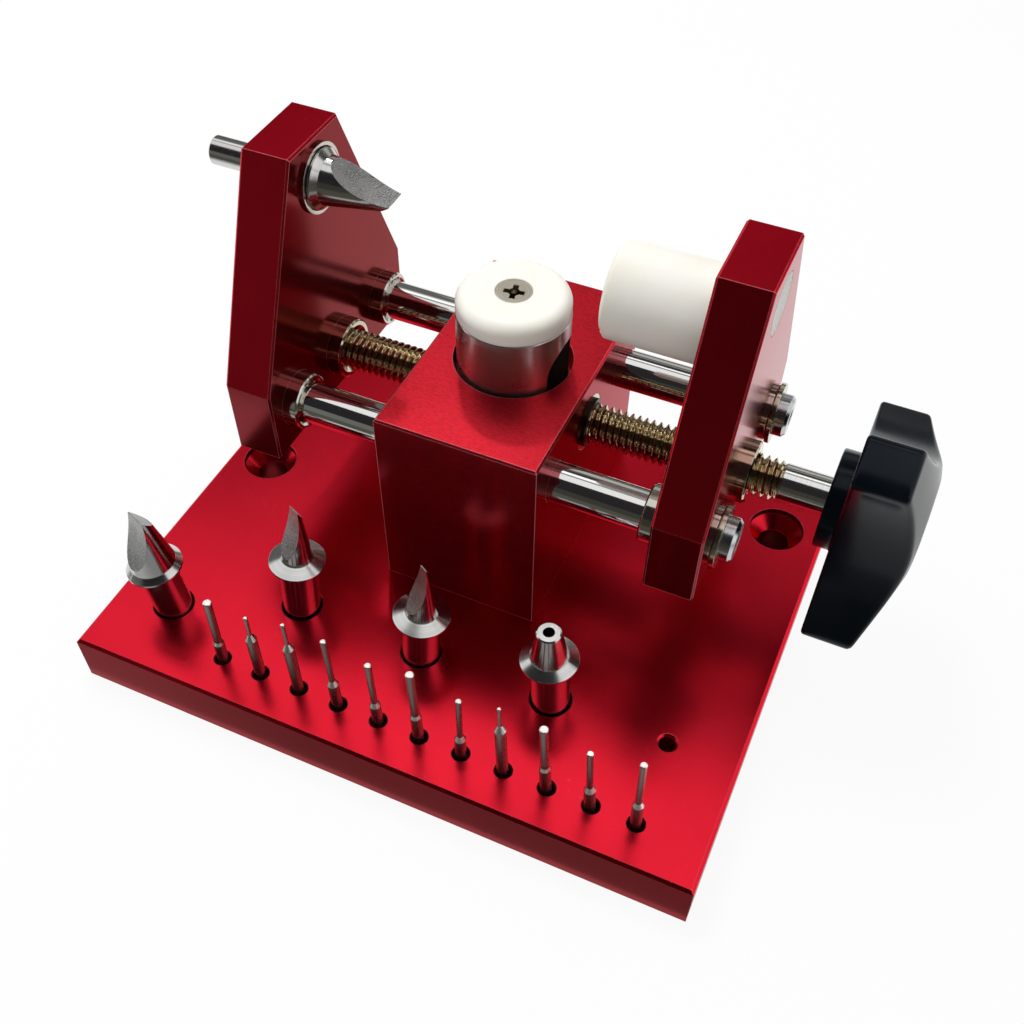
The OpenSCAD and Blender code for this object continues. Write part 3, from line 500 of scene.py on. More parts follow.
def turned_metal(name, colour, roughness, centre=(0, 0, 0), axis=(1, 0, 0), rings=6.0, ring_depth=0.2,
                 tint=0.12, edge=0.2 * MM, spread=0.0, ends=None):
    """Bright turned metal with lathe rings, slight smudges and soft edges.

    rings is their number in a millimetre and tint their contrast; spread draws reflections along Z, and
    ends is a painted highlight colour for the faces that look up.
    """
    made, tree, shader = new_material(name)
    if spread:
        around = new_node(tree, "ShaderNodeTangent", 250, -600, direction_type="RADIAL", axis="Z")
        tree.links.new(around.outputs[0], shader.inputs["Tangent"])
        shader.inputs["Anisotropic"].default_value = spread
        shader.inputs["Anisotropic Rotation"].default_value = 0.25
    shader.inputs["Metallic"].default_value = 1.0
    marks = place_group(tree, "Turned marks", -700, 200, Centre=centre, Axis=axis, Rings_per_mm=rings)
    smudge = place_group(tree, "Smudges", -700, -50)
    wear = place_group(tree, "Edge wear", -700, -300, Width=edge, Strength=2.0)
    dark = tuple(c * (1 - tint * 2) for c in colour[:3]) + (1.0,)
    light = tuple(min(1, c * (1 + tint)) for c in colour[:3]) + (1.0,)
    band = map_range(tree, marks.outputs["Rings"], 0.3, 0.7, 0.0, 1.0, -450, 250)
    shade = mix_colour(tree, band, dark, light, -200, 250)
    # Painted highlight: faces that look up take the ends colour
    if ends is not None:
        upper = place_group(tree, "Upper faces", -450, 500)
        shade = mix_colour(tree, upper.outputs["Mask"], shade, tuple(ends), 0, 250)
    tree.links.new(shade, shader.inputs["Base Color"])
    gloss = map_range(tree, smudge.outputs["Gloss"], 0.3, 0.75, roughness * 0.85, roughness * 1.25,
                      -450, -50)
    tree.links.new(gloss, shader.inputs["Roughness"])
    tree.links.new(bump(tree, marks.outputs["Rings"], ring_depth, 0.02 * MM, wear.outputs["Normal"]),
                   shader.inputs["Normal"])
    return made


def ground_facet(name, colour):
    """Hand-ground steel: matt grey with crossing swirl marks."""
    made, tree, shader = new_material(name)
    shader.inputs["Metallic"].default_value = 1.0
    where = new_node(tree, "ShaderNodeTexCoord", -1100, 0)
    swirl = new_node(tree, "ShaderNodeTexWave", -800, 200, wave_type="RINGS", rings_direction="SPHERICAL",
                     Scale=900.0, Distortion=14.0, Detail=3.0)
    tree.links.new(where.outputs["Object"], swirl.inputs["Vector"])
    grit = new_node(tree, "ShaderNodeTexNoise", -800, -100, Scale=4200.0, Detail=4.0, Roughness=0.7)
    tree.links.new(where.outputs["Object"], grit.inputs["Vector"])
    cloud = new_node(tree, "ShaderNodeTexNoise", -800, -350, Scale=260.0, Detail=2.0)
    tree.links.new(where.outputs["Object"], cloud.inputs["Vector"])
    coarse = maths(tree, "MULTIPLY", swirl.outputs["Fac"], 0.45, -550, 200)
    fine = maths(tree, "MULTIPLY", grit.outputs[0], 0.55, -550, -50)
    both = maths(tree, "ADD", coarse, fine, -400, 100)
    dark = tuple(c * 0.5 for c in colour[:3]) + (1.0,)
    light = tuple(min(1, c * 1.2) for c in colour[:3]) + (1.0,)
    patch = map_range(tree, cloud.outputs[0], 0.35, 0.7, 0.0, 0.6, -550, -350)
    marks = map_range(tree, both, 0.35, 0.7, 0.0, 1.0, -250, 150)
    shade = mix_colour(tree, marks, dark, light, -50, 200)
    shade = mix_colour(tree, patch, shade, light, 150, 200)
    tree.links.new(shade, shader.inputs["Base Color"])
    tree.links.new(map_range(tree, both, 0.3, 0.7, 0.34, 0.52, -250, -100), shader.inputs["Roughness"])
    tree.links.new(bump(tree, both, 0.35, 0.02 * MM), shader.inputs["Normal"])
    return made


def moulded_nylon(name, colour):
    """White nylon with soft light inside and slight stains from handling."""
    made, tree, shader = new_material(name)
    shader.inputs["Subsurface Weight"].default_value = 0.35
    shader.inputs["Subsurface Radius"].default_value = (1.0, 0.75, 0.5)
    shader.inputs["Subsurface Scale"].default_value = 2.5 * MM
    shader.inputs["IOR"].default_value = 1.52
    smudge = place_group(tree, "Smudges", -700, -50, Scale=70.0)
    wear = place_group(tree, "Edge wear", -700, -300, Width=0.5 * MM, Strength=1.0)
    warm = (colour[0] * 0.94, colour[1] * 0.9, colour[2] * 0.8, 1.0)
    patch = map_range(tree, smudge.outputs["Gloss"], 0.4, 0.8, 0.0, 0.5, -450, 150)
    shade = mix_colour(tree, patch, tuple(colour), warm, -200, 200)
    tree.links.new(shade, shader.inputs["Base Color"])
    tree.links.new(map_range(tree, smudge.outputs["Gloss"], 0.3, 0.7, 0.27, 0.4, -450, -50),
                   shader.inputs["Roughness"])
    tree.links.new(bump(tree, smudge.outputs["Gloss"], 0.08, 0.05 * MM, wear.outputs["Normal"]),
                   shader.inputs["Normal"])
    return made


def moulded_black(name, colour):
    """Black moulded plastic, satin with a light orange-peel and handling marks."""
    made, tree, shader = new_material(name)
    shader.inputs["Specular IOR Level"].default_value = 0.13
    shader.inputs["Specular Tint"].default_value = (0.85, 0.94, 1.0, 1.0)
    shader.inputs["Coat Weight"].default_value = 0.05
    shader.inputs["Coat Roughness"].default_value = 0.1
    smudge = place_group(tree, "Smudges", -700, -50, Scale=55.0)
    grain = place_group(tree, "Fine grain", -700, 250, Scale=900.0, Cloud_Scale=40.0)
    wear = place_group(tree, "Edge wear", -700, -300, Width=0.5 * MM, Strength=2.0)
    worn = tuple(c * 2 + 0.004 for c in colour[:3]) + (1.0,)
    rub = maths(tree, "MULTIPLY", wear.outputs["Mask"], 0.6, -450, -300)
    shade = mix_colour(tree, rub, tuple(colour), worn, -200, 200)
    dust = map_range(tree, grain.outputs["Cloud"], 0.5, 0.8, 0.0, 0.1, -450, 300)
    shade = mix_colour(tree, dust, shade, (0.05, 0.055, 0.06, 1.0), 0, 200)
    tree.links.new(shade, shader.inputs["Base Color"])
    tree.links.new(map_range(tree, smudge.outputs["Gloss"], 0.3, 0.75, 0.13, 0.26, -450, -50),
                   shader.inputs["Roughness"])
    tree.links.new(bump(tree, grain.outputs["Grain"], 0.05, 0.06 * MM, wear.outputs["Normal"]),
                   shader.inputs["Normal"])
    return made


def dress(node, *materials):
    """Gives a CAD node its finish."""
    slots = frame["nodes"][node].data.materials
    slots.clear()
    for one in materials:
        slots.append(one)


# Mesh helpers


def mesh_object(name, points, faces, material, body, smooth_angle=32):
    """A new piece from points and faces in metres, riding on a body."""
    mesh = bpy.data.meshes.new(name)
    mesh.from_pydata([tuple(p) for p in points], [], faces)
    mesh.validate()
    mesh.materials.append(material)
    mesh.polygons.foreach_set("use_smooth", [True] * len(mesh.polygons))
    mesh.set_sharp_from_angle(angle=math.radians(smooth_angle))
    made = bpy.data.objects.new(name, mesh)
    bpy.context.scene.collection.objects.link(made)
    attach(made, body)
    return made


def grid_faces(rows, columns):
    """Quads between closed rows of points."""
    faces = []
    for i in range(rows - 1):
        for j in range(columns):
            k = (j + 1) % columns
            faces.append((i * columns + j, i * columns + k, (i + 1) * columns + k, (i + 1) * columns + j))
    return faces


# Leadscrew


# Flat of the crest and sloping flank, as shares of half a pitch
CREST_SHARE = 0.14
FLANK_SHARE = 0.7
# Rows of points in one pitch, and the pitches over which a thread runs out
ROWS_PER_PITCH = 14
RUNOUT = 0.8


def thread_radius(along, angle, hand, thread):
    """Radius of the thread at a distance along the axis and an angle round it."""
    phase = (along / thread.pitch + hand * angle / (2 * math.pi)) % 1.0
    rise = min(1.0, max(0.0, (abs(phase - 0.5) * 2 - CREST_SHARE) / FLANK_SHARE))
    return thread.root + (thread.crest - thread.root) * rise


def make_leadscrew(material, plain):
    """The screw: left-hand thread, journal, right-hand thread, bright stem and spigot."""
    thread = settings().thread
    low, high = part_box("leadscrew")
    block_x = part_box("centre_block")[1].x
    journal = block_x + thread.journal
    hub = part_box("knob")[0].x
    stem_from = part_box("right_arm")[1].x + thread.out
    stem, spigot = thread.stem, thread.spigot
    tip = 0.01 * MM
    bevel = 0.45 * MM
    least = 3.6 * MM
    steps = thread.steps
    points = []
    rows = 0
    step = thread.pitch / ROWS_PER_PITCH
    runout = thread.pitch * RUNOUT

    def add(x, rule):
        nonlocal rows
        for j in range(steps):
            a = 2 * math.pi * j / steps
            r = rule(x, a)
            points.append((x, MID_Y + r * math.cos(a), AXIS_Z + r * math.sin(a)))
        rows += 1

    def threaded(start, end, hand, bevel_start, bevel_end):
        """Rows of thread; an end without a bevel rises to the full radius."""
        count = int((end - start) / step)
        for i in range(count + 1):
            x = start + (end - start) * i / count
            cut = thread.crest
            if bevel_start:
                cut = min(cut, thread.root - 0.2 * MM + (x - start) * 0.9)
            if bevel_end:
                cut = min(cut, stem - 0.4 * MM + (end - x) * 0.8)
            lift_start = 0 if bevel_start else max(0.0, 1 - (x - start) / runout)
            lift_end = 0 if bevel_end else max(0.0, 1 - (end - x) / runout)
            lift = max(lift_start, lift_end)

            def rule(px, a, cut=cut, lift=lift):
                r = thread_radius(px, a, hand, thread)
                r = r + (thread.crest - r) * lift
                return max(min(r, cut), least)

            add(x, rule)

    add(low.x, lambda x, a: tip)
    threaded(low.x, -journal, 1, True, False)
    for x in (-journal, -block_x, block_x, journal):
        add(x, lambda x, a: thread.crest)
    threaded(journal, stem_from, -1, False, True)
    for x, r in ((stem_from, stem - bevel), (stem_from + bevel, stem), (hub, stem), (hub, spigot),
                 (high.x, spigot), (high.x, tip)):
        add(x, lambda x, a, r=r: r)
    faces = grid_faces(rows, steps)
    made = mesh_object("leadscrew_threads", points, faces, material, "drive", 36)
    made.data.materials.append(plain)
    for face in made.data.polygons:
        face.material_index = int(face.center.x > stem_from + 0.1 * MM)
    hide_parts("leadscrew")


class BENCHTOOL_OT_leadscrew(Operator):
    """Makes the leadscrew with its two threads"""
    bl_idname = "benchtool.leadscrew"
    bl_label = "Leadscrew"

    def execute(self, context):
        metal = settings().metal
        centre = (0, MID_Y, AXIS_Z)
        nickel = turned_metal("Thread nickel", metal.nickel, 0.12, centre, rings=5.0, ring_depth=0.08,
                              tint=0.1, edge=0.06 * MM)
        stem = turned_metal("Stem chrome", metal.chrome, 0.1, centre, rings=3.0, ring_depth=0.08, tint=0.04)
        make_leadscrew(nickel, stem)
        dress("retaining_rings", turned_metal("Ring spring steel", metal.ring, 0.35, centre, rings=8.0))
        return {"FINISHED"}


# Knob


def knob_outline(knob, count):
    """The knob's outline, lobes rounded and bays hollow: a list of (point, outward normal).

    A sixth runs from the middle of a bay to the middle of a lobe; it is mirrored and repeated.
    """
    big, corner = knob.lobe_radius, knob.corner
    sector = math.radians(60)
    half_tip = math.asin(knob.lobe_width / 2 / big)
    along = big * math.cos(sector - half_tip)
    across = big * math.sin(sector - half_tip)
    depth = along - knob.waist
    bay = (across * across + depth * depth) / 2 / depth
    bay_x = knob.waist + bay
    turn_r, reach = big - corner, bay + corner
    turn = math.acos((turn_r ** 2 + bay_x ** 2 - reach ** 2) / (2 * turn_r * bay_x))
    centre = Vector((turn_r * math.cos(turn), turn_r * math.sin(turn)))
    to_bay = (Vector((bay_x, 0)) - centre).normalized()
    sixth = []
    n_bay, n_corner, n_tip = count, 7, 5
    bay_half = math.atan2(centre.y + to_bay.y * corner, bay_x - (centre.x + to_bay.x * corner))
    for i in range(n_bay):
        a = bay_half * i / n_bay
        p = Vector((bay_x - bay * math.cos(a), bay * math.sin(a)))
        sixth.append((p, Vector((math.cos(a), -math.sin(a)))))
    start = math.atan2(to_bay.y, to_bay.x)
    for i in range(n_corner + 1):
        a = start + (turn - start) * i / n_corner
        n = Vector((math.cos(a), math.sin(a)))
        sixth.append((centre + n * corner, n))
    for i in range(1, n_tip + 1):
        a = turn + (sector - turn) * i / n_tip
        n = Vector((math.cos(a), math.sin(a)))
        sixth.append((n * big, n))
    mirrored = [(Vector((p.x, -p.y)), Vector((n.x, -n.y))) for p, n in reversed(sixth[1:])]
    third = mirrored + sixth[:-1]
    outline = []
    for k in range(3):
        turn_by = Matrix.Rotation(math.radians(60 + 120 * k), 2)
        outline += [(turn_by @ p, turn_by @ n) for p, n in third]
    return outline


def make_knob(material):
    """Three-lobed knob with a coned face, rounded rims and a stepped hub."""
    knob = settings().knob
    low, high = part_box("knob")
    back = low.x + knob.hub_length
    rim = back + knob.rim_thickness
    flat_r, hub_r = knob.flat_radius, knob.hub_radius
    slope = (high.x - rim) / (knob.lobe_radius - flat_r)
    outline = knob_outline(knob, 16)
    r = knob.rounding
    points = []

    def add(p, x):
        spin = Matrix.Rotation(knob.turn, 2) @ p
        points.append((x, MID_Y + spin.x, AXIS_Z + spin.y))

    def cone_x(p):
        return min(high.x, high.x - (p.length - flat_r) * slope)

    def round_rows(rows):
        """Rows of one radius each, from (place along the axis, radius)."""
        for x, radius in rows:
            for p, n in outline:
                add(p.normalized() * radius, x)

    # Bore, back of the hub, its rounded edge and its root
    round_rows(((low.x, knob.bore_radius), (low.x, 6.2 * MM), (low.x, hub_r - 0.5 * MM),
                (low.x + 0.15 * MM, hub_r - 0.15 * MM), (low.x + 0.5 * MM, hub_r),
                (back - 0.2 * MM, hub_r), (back, hub_r + 0.3 * MM)))
    # Back of the rim, rounded outwards: how far in and how far along, in roundings
    for inset, x in ((2.2, 0), (1.0, 0), (0.62, 0.08), (0.3, 0.3), (0.08, 0.62), (0, 1.0)):
        for p, n in outline:
            add(p - n * inset * r, back + x * r)
    # Front of the rim, rounded into the coned face: how far below the cone and how far in
    for drop, inset in ((2.4, 0), (1.25, 0), (0.75, 0.06), (0.4, 0.28), (0.12, 0.6), (0, 1.0), (0, 2.0)):
        for p, n in outline:
            q = p - n * inset * r
            add(q, cone_x(q) - drop * r)
    # The cone, from the rim to the flat
    for share in (0.25, 0.5, 0.75, 0.9, 0.97):
        for p, n in outline:
            q = (p - n * 2 * r).lerp(p.normalized() * flat_r, share)
            add(q, cone_x(q))
    # The flat, with a softened edge
    round_rows(((high.x - 0.06 * MM, flat_r), (high.x - 0.02 * MM, flat_r - 0.4 * MM),
                (high.x, flat_r - 1 * MM), (high.x, flat_r / 2), (high.x, 0.02 * MM)))
    faces = grid_faces(len(points) // len(outline), len(outline))
    made = mesh_object("knob_moulding", points, faces, material, "drive", 34)
    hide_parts("knob")


class BENCHTOOL_OT_knob(Operator):
    """Makes the three-lobed knob and finishes its metal insert"""
    bl_idname = "benchtool.knob"
    bl_label = "Knob"

    def execute(self, context):
        make_knob(moulded_black("Knob plastic", settings().finish.black))
        brass = turned_metal("Insert brass", settings().metal.insert, 0.3, (0, MID_Y, AXIS_Z))
        dress("knob_insert", brass)
        return {"FINISHED"}


# Plates


class BENCHTOOL_OT_plates(Operator):
    """Finishes the base plate, the centre block and both arms"""
    bl_idname = "benchtool.plates"
    bl_label = "Red plates"

    def execute(self, context):
        finish = settings().finish
        rough = finish.red_roughness
        # Each plate's sides get painted shade in a darker red
        dress("base_plate", anodised_red("Base red", finish.red, (0.55, 1.0, 1.0), rough * 0.85, 0.3,
                                         side_shade_level=1.3, speckle=0.04, coat=0.12, worn=0.25))
        # Painted light: the block's top takes the lighter copy of the plate red
        dress("centre_block", anodised_red("Block red", finish.lit_block_red, (0.3, 1.3, 1.0), rough * 1.2, 0.2,
                                           side_shade_level=1.6, speckle=0.2, coat=0.1, worn=0.85))
        arm = anodised_red("Arm red", finish.red, (1.0, 0.7, 1.0), rough, 0.15,
                           side_shade_level=1.0, speckle=0.04, coat=0.2, worn=0.6)
        dress("left_arm", arm)
        dress("right_arm", arm)
        return {"FINISHED"}


# Rods, bushes, screws and the spring


def make_spring(material):
    """Round-wire spring under the post, built at one length on the frame; the real one shortens as the post
    is pressed down.
    """
    low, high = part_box("post_spring")
    wire, around, per_turn, turns = 1 * MM, 10, 32, 6
    radius = (high.x - low.x) / 2 - wire
    steps = per_turn * turns
    rise = high.z - low.z - 2 * wire
    points = []
    for i in range(steps + 1):
        turn = 2 * math.pi * i / per_turn
        for j in range(around):
            a = 2 * math.pi * j / around
            r = radius + wire * math.cos(a)
            z = low.z + wire + rise * i / steps + wire * math.sin(a)
            points.append((r * math.cos(turn), MID_Y + r * math.sin(turn), z))
    faces = grid_faces(steps + 1, around)
    faces += [list(range(around)), list(range(steps * around, (steps + 1) * around))[::-1]]
    made = mesh_object("spring_coil", points, faces, material, "frame")
    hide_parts("post_spring")
    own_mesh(made)


class BENCHTOOL_OT_rods(Operator):
    """Finishes the guide rods, bushes, nuts and screws and makes the post's spring"""
    bl_idname = "benchtool.rods"
    bl_label = "Rods and bushes"

    def execute(self, context):
        metal = settings().metal
        middle = (0, MID_Y, AXIS_Z)
        for side, y in zip(("front", "rear"), ROD_Y):
            centre = (0, y, AXIS_Z)
            rod = turned_metal("Rod chrome " + side, metal.chrome, 0.06, centre, rings=8.0, ring_depth=0.02,
                               tint=0.015)
            dress("guide_rod_" + side, rod)
            bush = turned_metal("Bush steel " + side, metal.bush, 0.1, centre, rings=5.0, ring_depth=0.08,
                                tint=0.06)
            for arm in ("left", "right"):
                dress("%s_bush_%s" % (arm, side), bush)
        ends = (0, 0, AXIS_Z)
        dress("rod_end_screws", turned_metal("End screw steel", metal.end_screw, 0.2, ends, rings=7.0))
        dress("rod_end_washers", turned_metal("Washer nickel", metal.washer, 0.16, ends, rings=4.0))
        nut = turned_metal("Nut nickel", metal.nut, 0.1, middle, rings=5.0, ring_depth=0.08, tint=0.08)
        for node in ("left_nut", "right_nut", "screw_bush_left", "screw_bush_right"):
            dress(node, nut)
        dark = turned_metal("Blackened steel", metal.dark_steel, 0.35, axis=(0, 0, 1), rings=6.0)
        for node in ("block_screws", "rod_set_screws"):
            dress(node, dark)
        make_spring(dark)
        return {"FINISHED"}


# Post


def link_object(name, mesh, *materials):
    """A new object from a bmesh, which is freed."""
    data = bpy.data.meshes.new(name)
    mesh.to_mesh(data)
    mesh.free()
    for one in materials:
        data.materials.append(one)
    made = bpy.data.objects.new(name, data)
    bpy.context.scene.collection.objects.link(made)
    return made


def recess_cutter(top, material):
    """Two crossed wings that taper towards their foot, and a bowl where they meet."""
    depth, rise = 1.5 * MM, 0.5 * MM
    # Length and width of a wing, at its mouth and at its floor
    mouth, floor = (5.6 * MM, 1.5 * MM), (2.8 * MM, 0.8 * MM)
    mesh = bmesh.new()
    for turn in (math.radians(10), math.radians(100)):
        wing = bmesh.ops.create_cube(mesh, size=1.0)["verts"]
        for v in wing:
            deep = v.co.z < 0
            length, width = floor if deep else mouth
            v.co.x *= length
            v.co.y *= width
            v.co.z = -depth if deep else rise
            v.co.rotate(Matrix.Rotation(turn, 3, "Z"))
            v.co += Vector((0, MID_Y, top))
    bowl = bmesh.ops.create_cone(mesh, segments=24, radius1=0.35 * MM, radius2=1.6 * MM, depth=2.4 * MM)
    for v in bowl["verts"]:
        v.co += Vector((0, MID_Y, top - 0.75 * MM))
    return link_object("recess_cutter", mesh, material)


def make_cap_screw(material, recess):
    """Countersunk head with a rounded rim and a cross recess with tapering wings."""
    low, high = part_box("cap_screw")
    radius, top = (high.x - low.x) / 2, high.z
    shank, under_head = 2 * MM, 2.3 * MM
    count = 64
    mesh = bmesh.new()

    def ring(r, z):
        turns = [2 * math.pi * i / count for i in range(count)]
        return [mesh.verts.new((r * math.cos(a), MID_Y + r * math.sin(a), z)) for a in turns]

    def join(a, b):
        for i in range(count):
            k = (i + 1) % count
            mesh.faces.new((a[i], a[k], b[k], b[i]))

    # Rim and face of the head: share of the radius, height against the top in mm
    rows = [ring(radius * share, top + z * MM)
            for share, z in ((0.999, -0.35), (1.0, -0.12), (0.985, -0.03), (0.95, 0.0), (0.6, 0.0))]
    for a, b in zip(rows, rows[1:]):
        join(a, b)
    middle = mesh.verts.new((0, MID_Y, top))
    for i in range(count):
        mesh.faces.new((rows[-1][i], rows[-1][(i + 1) % count], middle))
    under = ring(shank, top - under_head)
    foot = ring(shank, low.z)
    join(under, rows[0])
    join(foot, under)
    mesh.faces.new(list(reversed(foot)))
    bmesh.ops.recalc_face_normals(mesh, faces=mesh.faces)
    made = link_object("cap_screw_head", mesh, material, recess)
    cutter = recess_cutter(top, recess)
    # The recess faces take the cutter's darker nickel, painted shade in the recess
    cut = made.modifiers.new("Recess", "BOOLEAN")
    cut.operation, cut.solver, cut.object = "DIFFERENCE", "EXACT", cutter
    cut.use_self = True
    cut.material_mode = "TRANSFER"
    bpy.context.view_layer.objects.active = made
    bpy.ops.object.modifier_apply(modifier="Recess")
    bpy.data.objects.remove(cutter)
    made.data.polygons.foreach_set("use_smooth", [True] * len(made.data.polygons))
    made.data.set_sharp_from_angle(angle=math.radians(28))
    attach(made, "post")
    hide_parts("cap_screw")


class BENCHTOOL_OT_post(Operator):
    """Finishes the sprung post and its cap and makes the cap's screw"""
    bl_idname = "benchtool.post"
    bl_label = "Post and cap"

    def execute(self, context):
        metal = settings().metal
        centre, upright = (0, MID_Y, 0), (0, 0, 1)
        dress("support_post", turned_metal("Post steel", metal.post, 0.3, centre, upright, rings=7.0,
                                           ring_depth=0.3, tint=0.07, spread=0.8))
        dress("cap", moulded_nylon("Cap nylon", settings().finish.nylon))
        head = turned_metal("Cap screw nickel", metal.cap_screw, 0.6, centre, upright, rings=5.0)
        # Painted shade: the cross recess takes a darker nickel than the head
        recess = turned_metal("Shaded recess nickel", metal.recess, 0.4, centre, upright, rings=8.0)
        make_cap_screw(head, recess)
        return {"FINISHED"}


# Jaw and blades


class BENCHTOOL_OT_jaw(Operator):
    """Finishes the nylon jaw in the right arm"""
    bl_idname = "benchtool.jaw"
    bl_label = "Jaw"

    def execute(self, context):
        dress("jaw", moulded_nylon("Jaw nylon", settings().finish.nylon))
        return {"FINISHED"}


# Nose of each blade in mm: radius at its foot, radius at its end, height from the top of the collar
NOSES = {
    "mounted_blade": (5.6, 3.15, 17.7),
    "wide_blade": (5.6, 3.15, 16.4),
    "narrow_blade": (3.95, 1.7, 17.5),
    "fine_blade": (3.95, 1.1, 17.5),
}
# Where each stored tip stands on the base, x and y in mm, and the top of its collar along its axis
PLACES = {
    "wide_blade": (-64.6, -42.9, 15.2),
    "narrow_blade": (-34.9, -29.8, 17.2),
    "fine_blade": (-1, -30.2, 15.2),
    "pin_holder": (33.2, -29.8, 16.6),
}
# Height of the turned seat at the nose's foot, and how deep a face lies in the nose's cone if it is ground
SEAT = 1.6
GROUND_DEPTH = 0.28
LEANING_DEPTH = 0.12


def tip_axis(node):
    """Where a tip stands and which way it points: (middle of its collar's top, unit axis)."""
    axis = Vector(joint_of(node)["axis"]).normalized()
    if node == "mounted_blade":
        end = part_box(node)[1].x
        return Vector((end - NOSES[node][2] * MM, MID_Y, BLADE_Z)), axis
    x, y, up = PLACES[node]
    return Vector((x * MM, y * MM, BASE_TOP)) + axis * up * MM, axis


def mark_ground_faces(node):
    """Gives the ground faces of a blade its second material: they lie inside the nose's cone."""
    base, end, height = NOSES[node]
    foot, axis = tip_axis(node)
    for face in frame["nodes"][node].data.polygons:
        rel = face.center - foot
        up = rel.dot(axis) / MM
        radius = (rel - axis * rel.dot(axis)).length / MM
        inside = base + (end - base) * (up - SEAT) / (height - SEAT) - radius
        lean = abs(face.normal.dot(axis))
        deep = inside > GROUND_DEPTH or lean > 0.2 and inside > LEANING_DEPTH
        if up > SEAT + 0.1 and deep:
            face.material_index = 1


class BENCHTOOL_OT_blades(Operator):
    """Finishes the mounted blade, its bush and the stored tips"""
    bl_idname = "benchtool.blades"
    bl_label = "Blades and tips"

    def execute(self, context):
        metal = settings().metal
        for node in ("mounted_blade", *PLACES):
            foot, axis = tip_axis(node)
            bright = turned_metal("Tip steel " + node, metal.tip, 0.16, tuple(foot), tuple(axis), rings=6.0,
                                  ring_depth=0.06, tint=0.05, edge=0.12 * MM)
            dress(node, bright, ground_facet("Ground steel " + node, metal.ground))
            if node in NOSES:
                mark_ground_faces(node)
        bush = turned_metal("Blade bush steel", metal.blade_bush, 0.14, (0, MID_Y, BLADE_Z), rings=5.0)
        dress("blade_bush", bush)
        return {"FINISHED"}


PIN_COUNT = 11


class BENCHTOOL_OT_pins(Operator):
    """Finishes the punch pins"""
    bl_idname = "benchtool.pins"
    bl_label = "Punch pins"

    def execute(self, context):
        finish, metal = settings().finish, settings().metal
        for i in range(PIN_COUNT):
            node = "pin_%d" % (i + 1)
            low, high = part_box(node)
            centre = ((low.x + high.x) / 2, (low.y + high.y) / 2, 0)
            shade = finish.pin_grey + (i * 37) % 22
            steel = srgb(shade, shade - 5, shade - 12)
            # The pins' end faces take a near-white as painted highlight
            dress(node, turned_metal("Pin steel %d" % (i + 1), steel, 0.28, centre, (0, 0, 1), rings=6.0,
                                     ring_depth=0.04, tint=0.04, edge=0.05 * MM, spread=0.5,
                                     ends=metal.pin_end))
        return {"FINISHED"}


# Stage


CAMERA_PLACE = Vector((84.21 * MM, -171.51 * MM, 250.10 * MM))
CAMERA_AZIMUTH = math.radians(23.409)
CAMERA_ELEVATION = math.radians(50.815)
CAMERA_ROLL = math.radians(0.806)
FOCAL_PIXELS = 1164.885
CENTRE_X, CENTRE_Y = 512.562, 562.024
PHOTO_SIZE = 1024
SENSOR_WIDTH = 36


def make_camera():
    """The photo's camera, recovered from its straight edges and its ellipses."""
    data = bpy.data.cameras.new("photo_camera")
    made = bpy.data.objects.new("photo_camera", data)
    bpy.context.scene.collection.objects.link(made)
    az, el, roll = CAMERA_AZIMUTH, CAMERA_ELEVATION, CAMERA_ROLL
    forward = Vector((-math.sin(az) * math.cos(el), math.cos(az) * math.cos(el), -math.sin(el)))
    right = Vector((math.cos(az), math.sin(az), 0))
    up = right.cross(forward)
    side = right * math.cos(roll) + up * math.sin(roll)
    top = up * math.cos(roll) - right * math.sin(roll)
    turn = Matrix((side, top, -forward)).transposed()
    made.matrix_world = Matrix.Translation(CAMERA_PLACE) @ turn.to_4x4()
    data.sensor_width = SENSOR_WIDTH
    data.lens = SENSOR_WIDTH * FOCAL_PIXELS / PHOTO_SIZE
    data.shift_x = (PHOTO_SIZE / 2 - CENTRE_X) / PHOTO_SIZE
    data.shift_y = (CENTRE_Y - PHOTO_SIZE / 2) / PHOTO_SIZE
    data.clip_start, data.clip_end = 0.01, 20
    bpy.context.scene.camera = made


def seen_directly(tree, x, y):
    """1 for rays of the camera, of reflections and of glass, 0 for light that falls on things."""
    path = new_node(tree, "ShaderNodeLightPath", x, y)
    either = maths(tree, "MAXIMUM", path.outputs["Is Camera Ray"], path.outputs["Is Glossy Ray"], x + 200, y)
    return maths(tree, "MAXIMUM", either, path.outputs["Is Transmission Ray"], x + 400, y)


def make_world(fill):
    """White to the camera and in reflections, and a low even light on everything."""
    world = bpy.data.worlds.new("white_room")
    bpy.context.scene.world = world
    world.use_nodes = True
    tree = world.node_tree
    tree.nodes.clear()
    seen = seen_directly(tree, -800, 0)
    white = new_node(tree, "ShaderNodeBackground", -100, 100, Color=(1, 1, 1, 1), Strength=1.0)
    even = new_node(tree, "ShaderNodeBackground", -100, -100, Color=(1, 0.99, 0.98, 1), Strength=fill)
    mixed = new_node(tree, "ShaderNodeMixShader", 150, 0)
    tree.links.new(seen, mixed.inputs[0])
    tree.links.new(even.outputs[0], mixed.inputs[1])
    tree.links.new(white.outputs[0], mixed.inputs[2])
    out = new_node(tree, "ShaderNodeOutputWorld", 400, 0)
    tree.links.new(mixed.outputs[0], out.inputs["Surface"])


def flat_piece(name, corners, material):
    """One flat face that belongs to the stage."""
    mesh = bpy.data.meshes.new(name)
    mesh.from_pydata([tuple(c) for c in corners], [], [tuple(range(len(corners)))])
    mesh.materials.append(material)
    made = bpy.data.objects.new(name, mesh)
    bpy.context.scene.collection.objects.link(made)
    return made


FLOOR_HALF = 4
FLOOR_DROP = 0.02 * MM


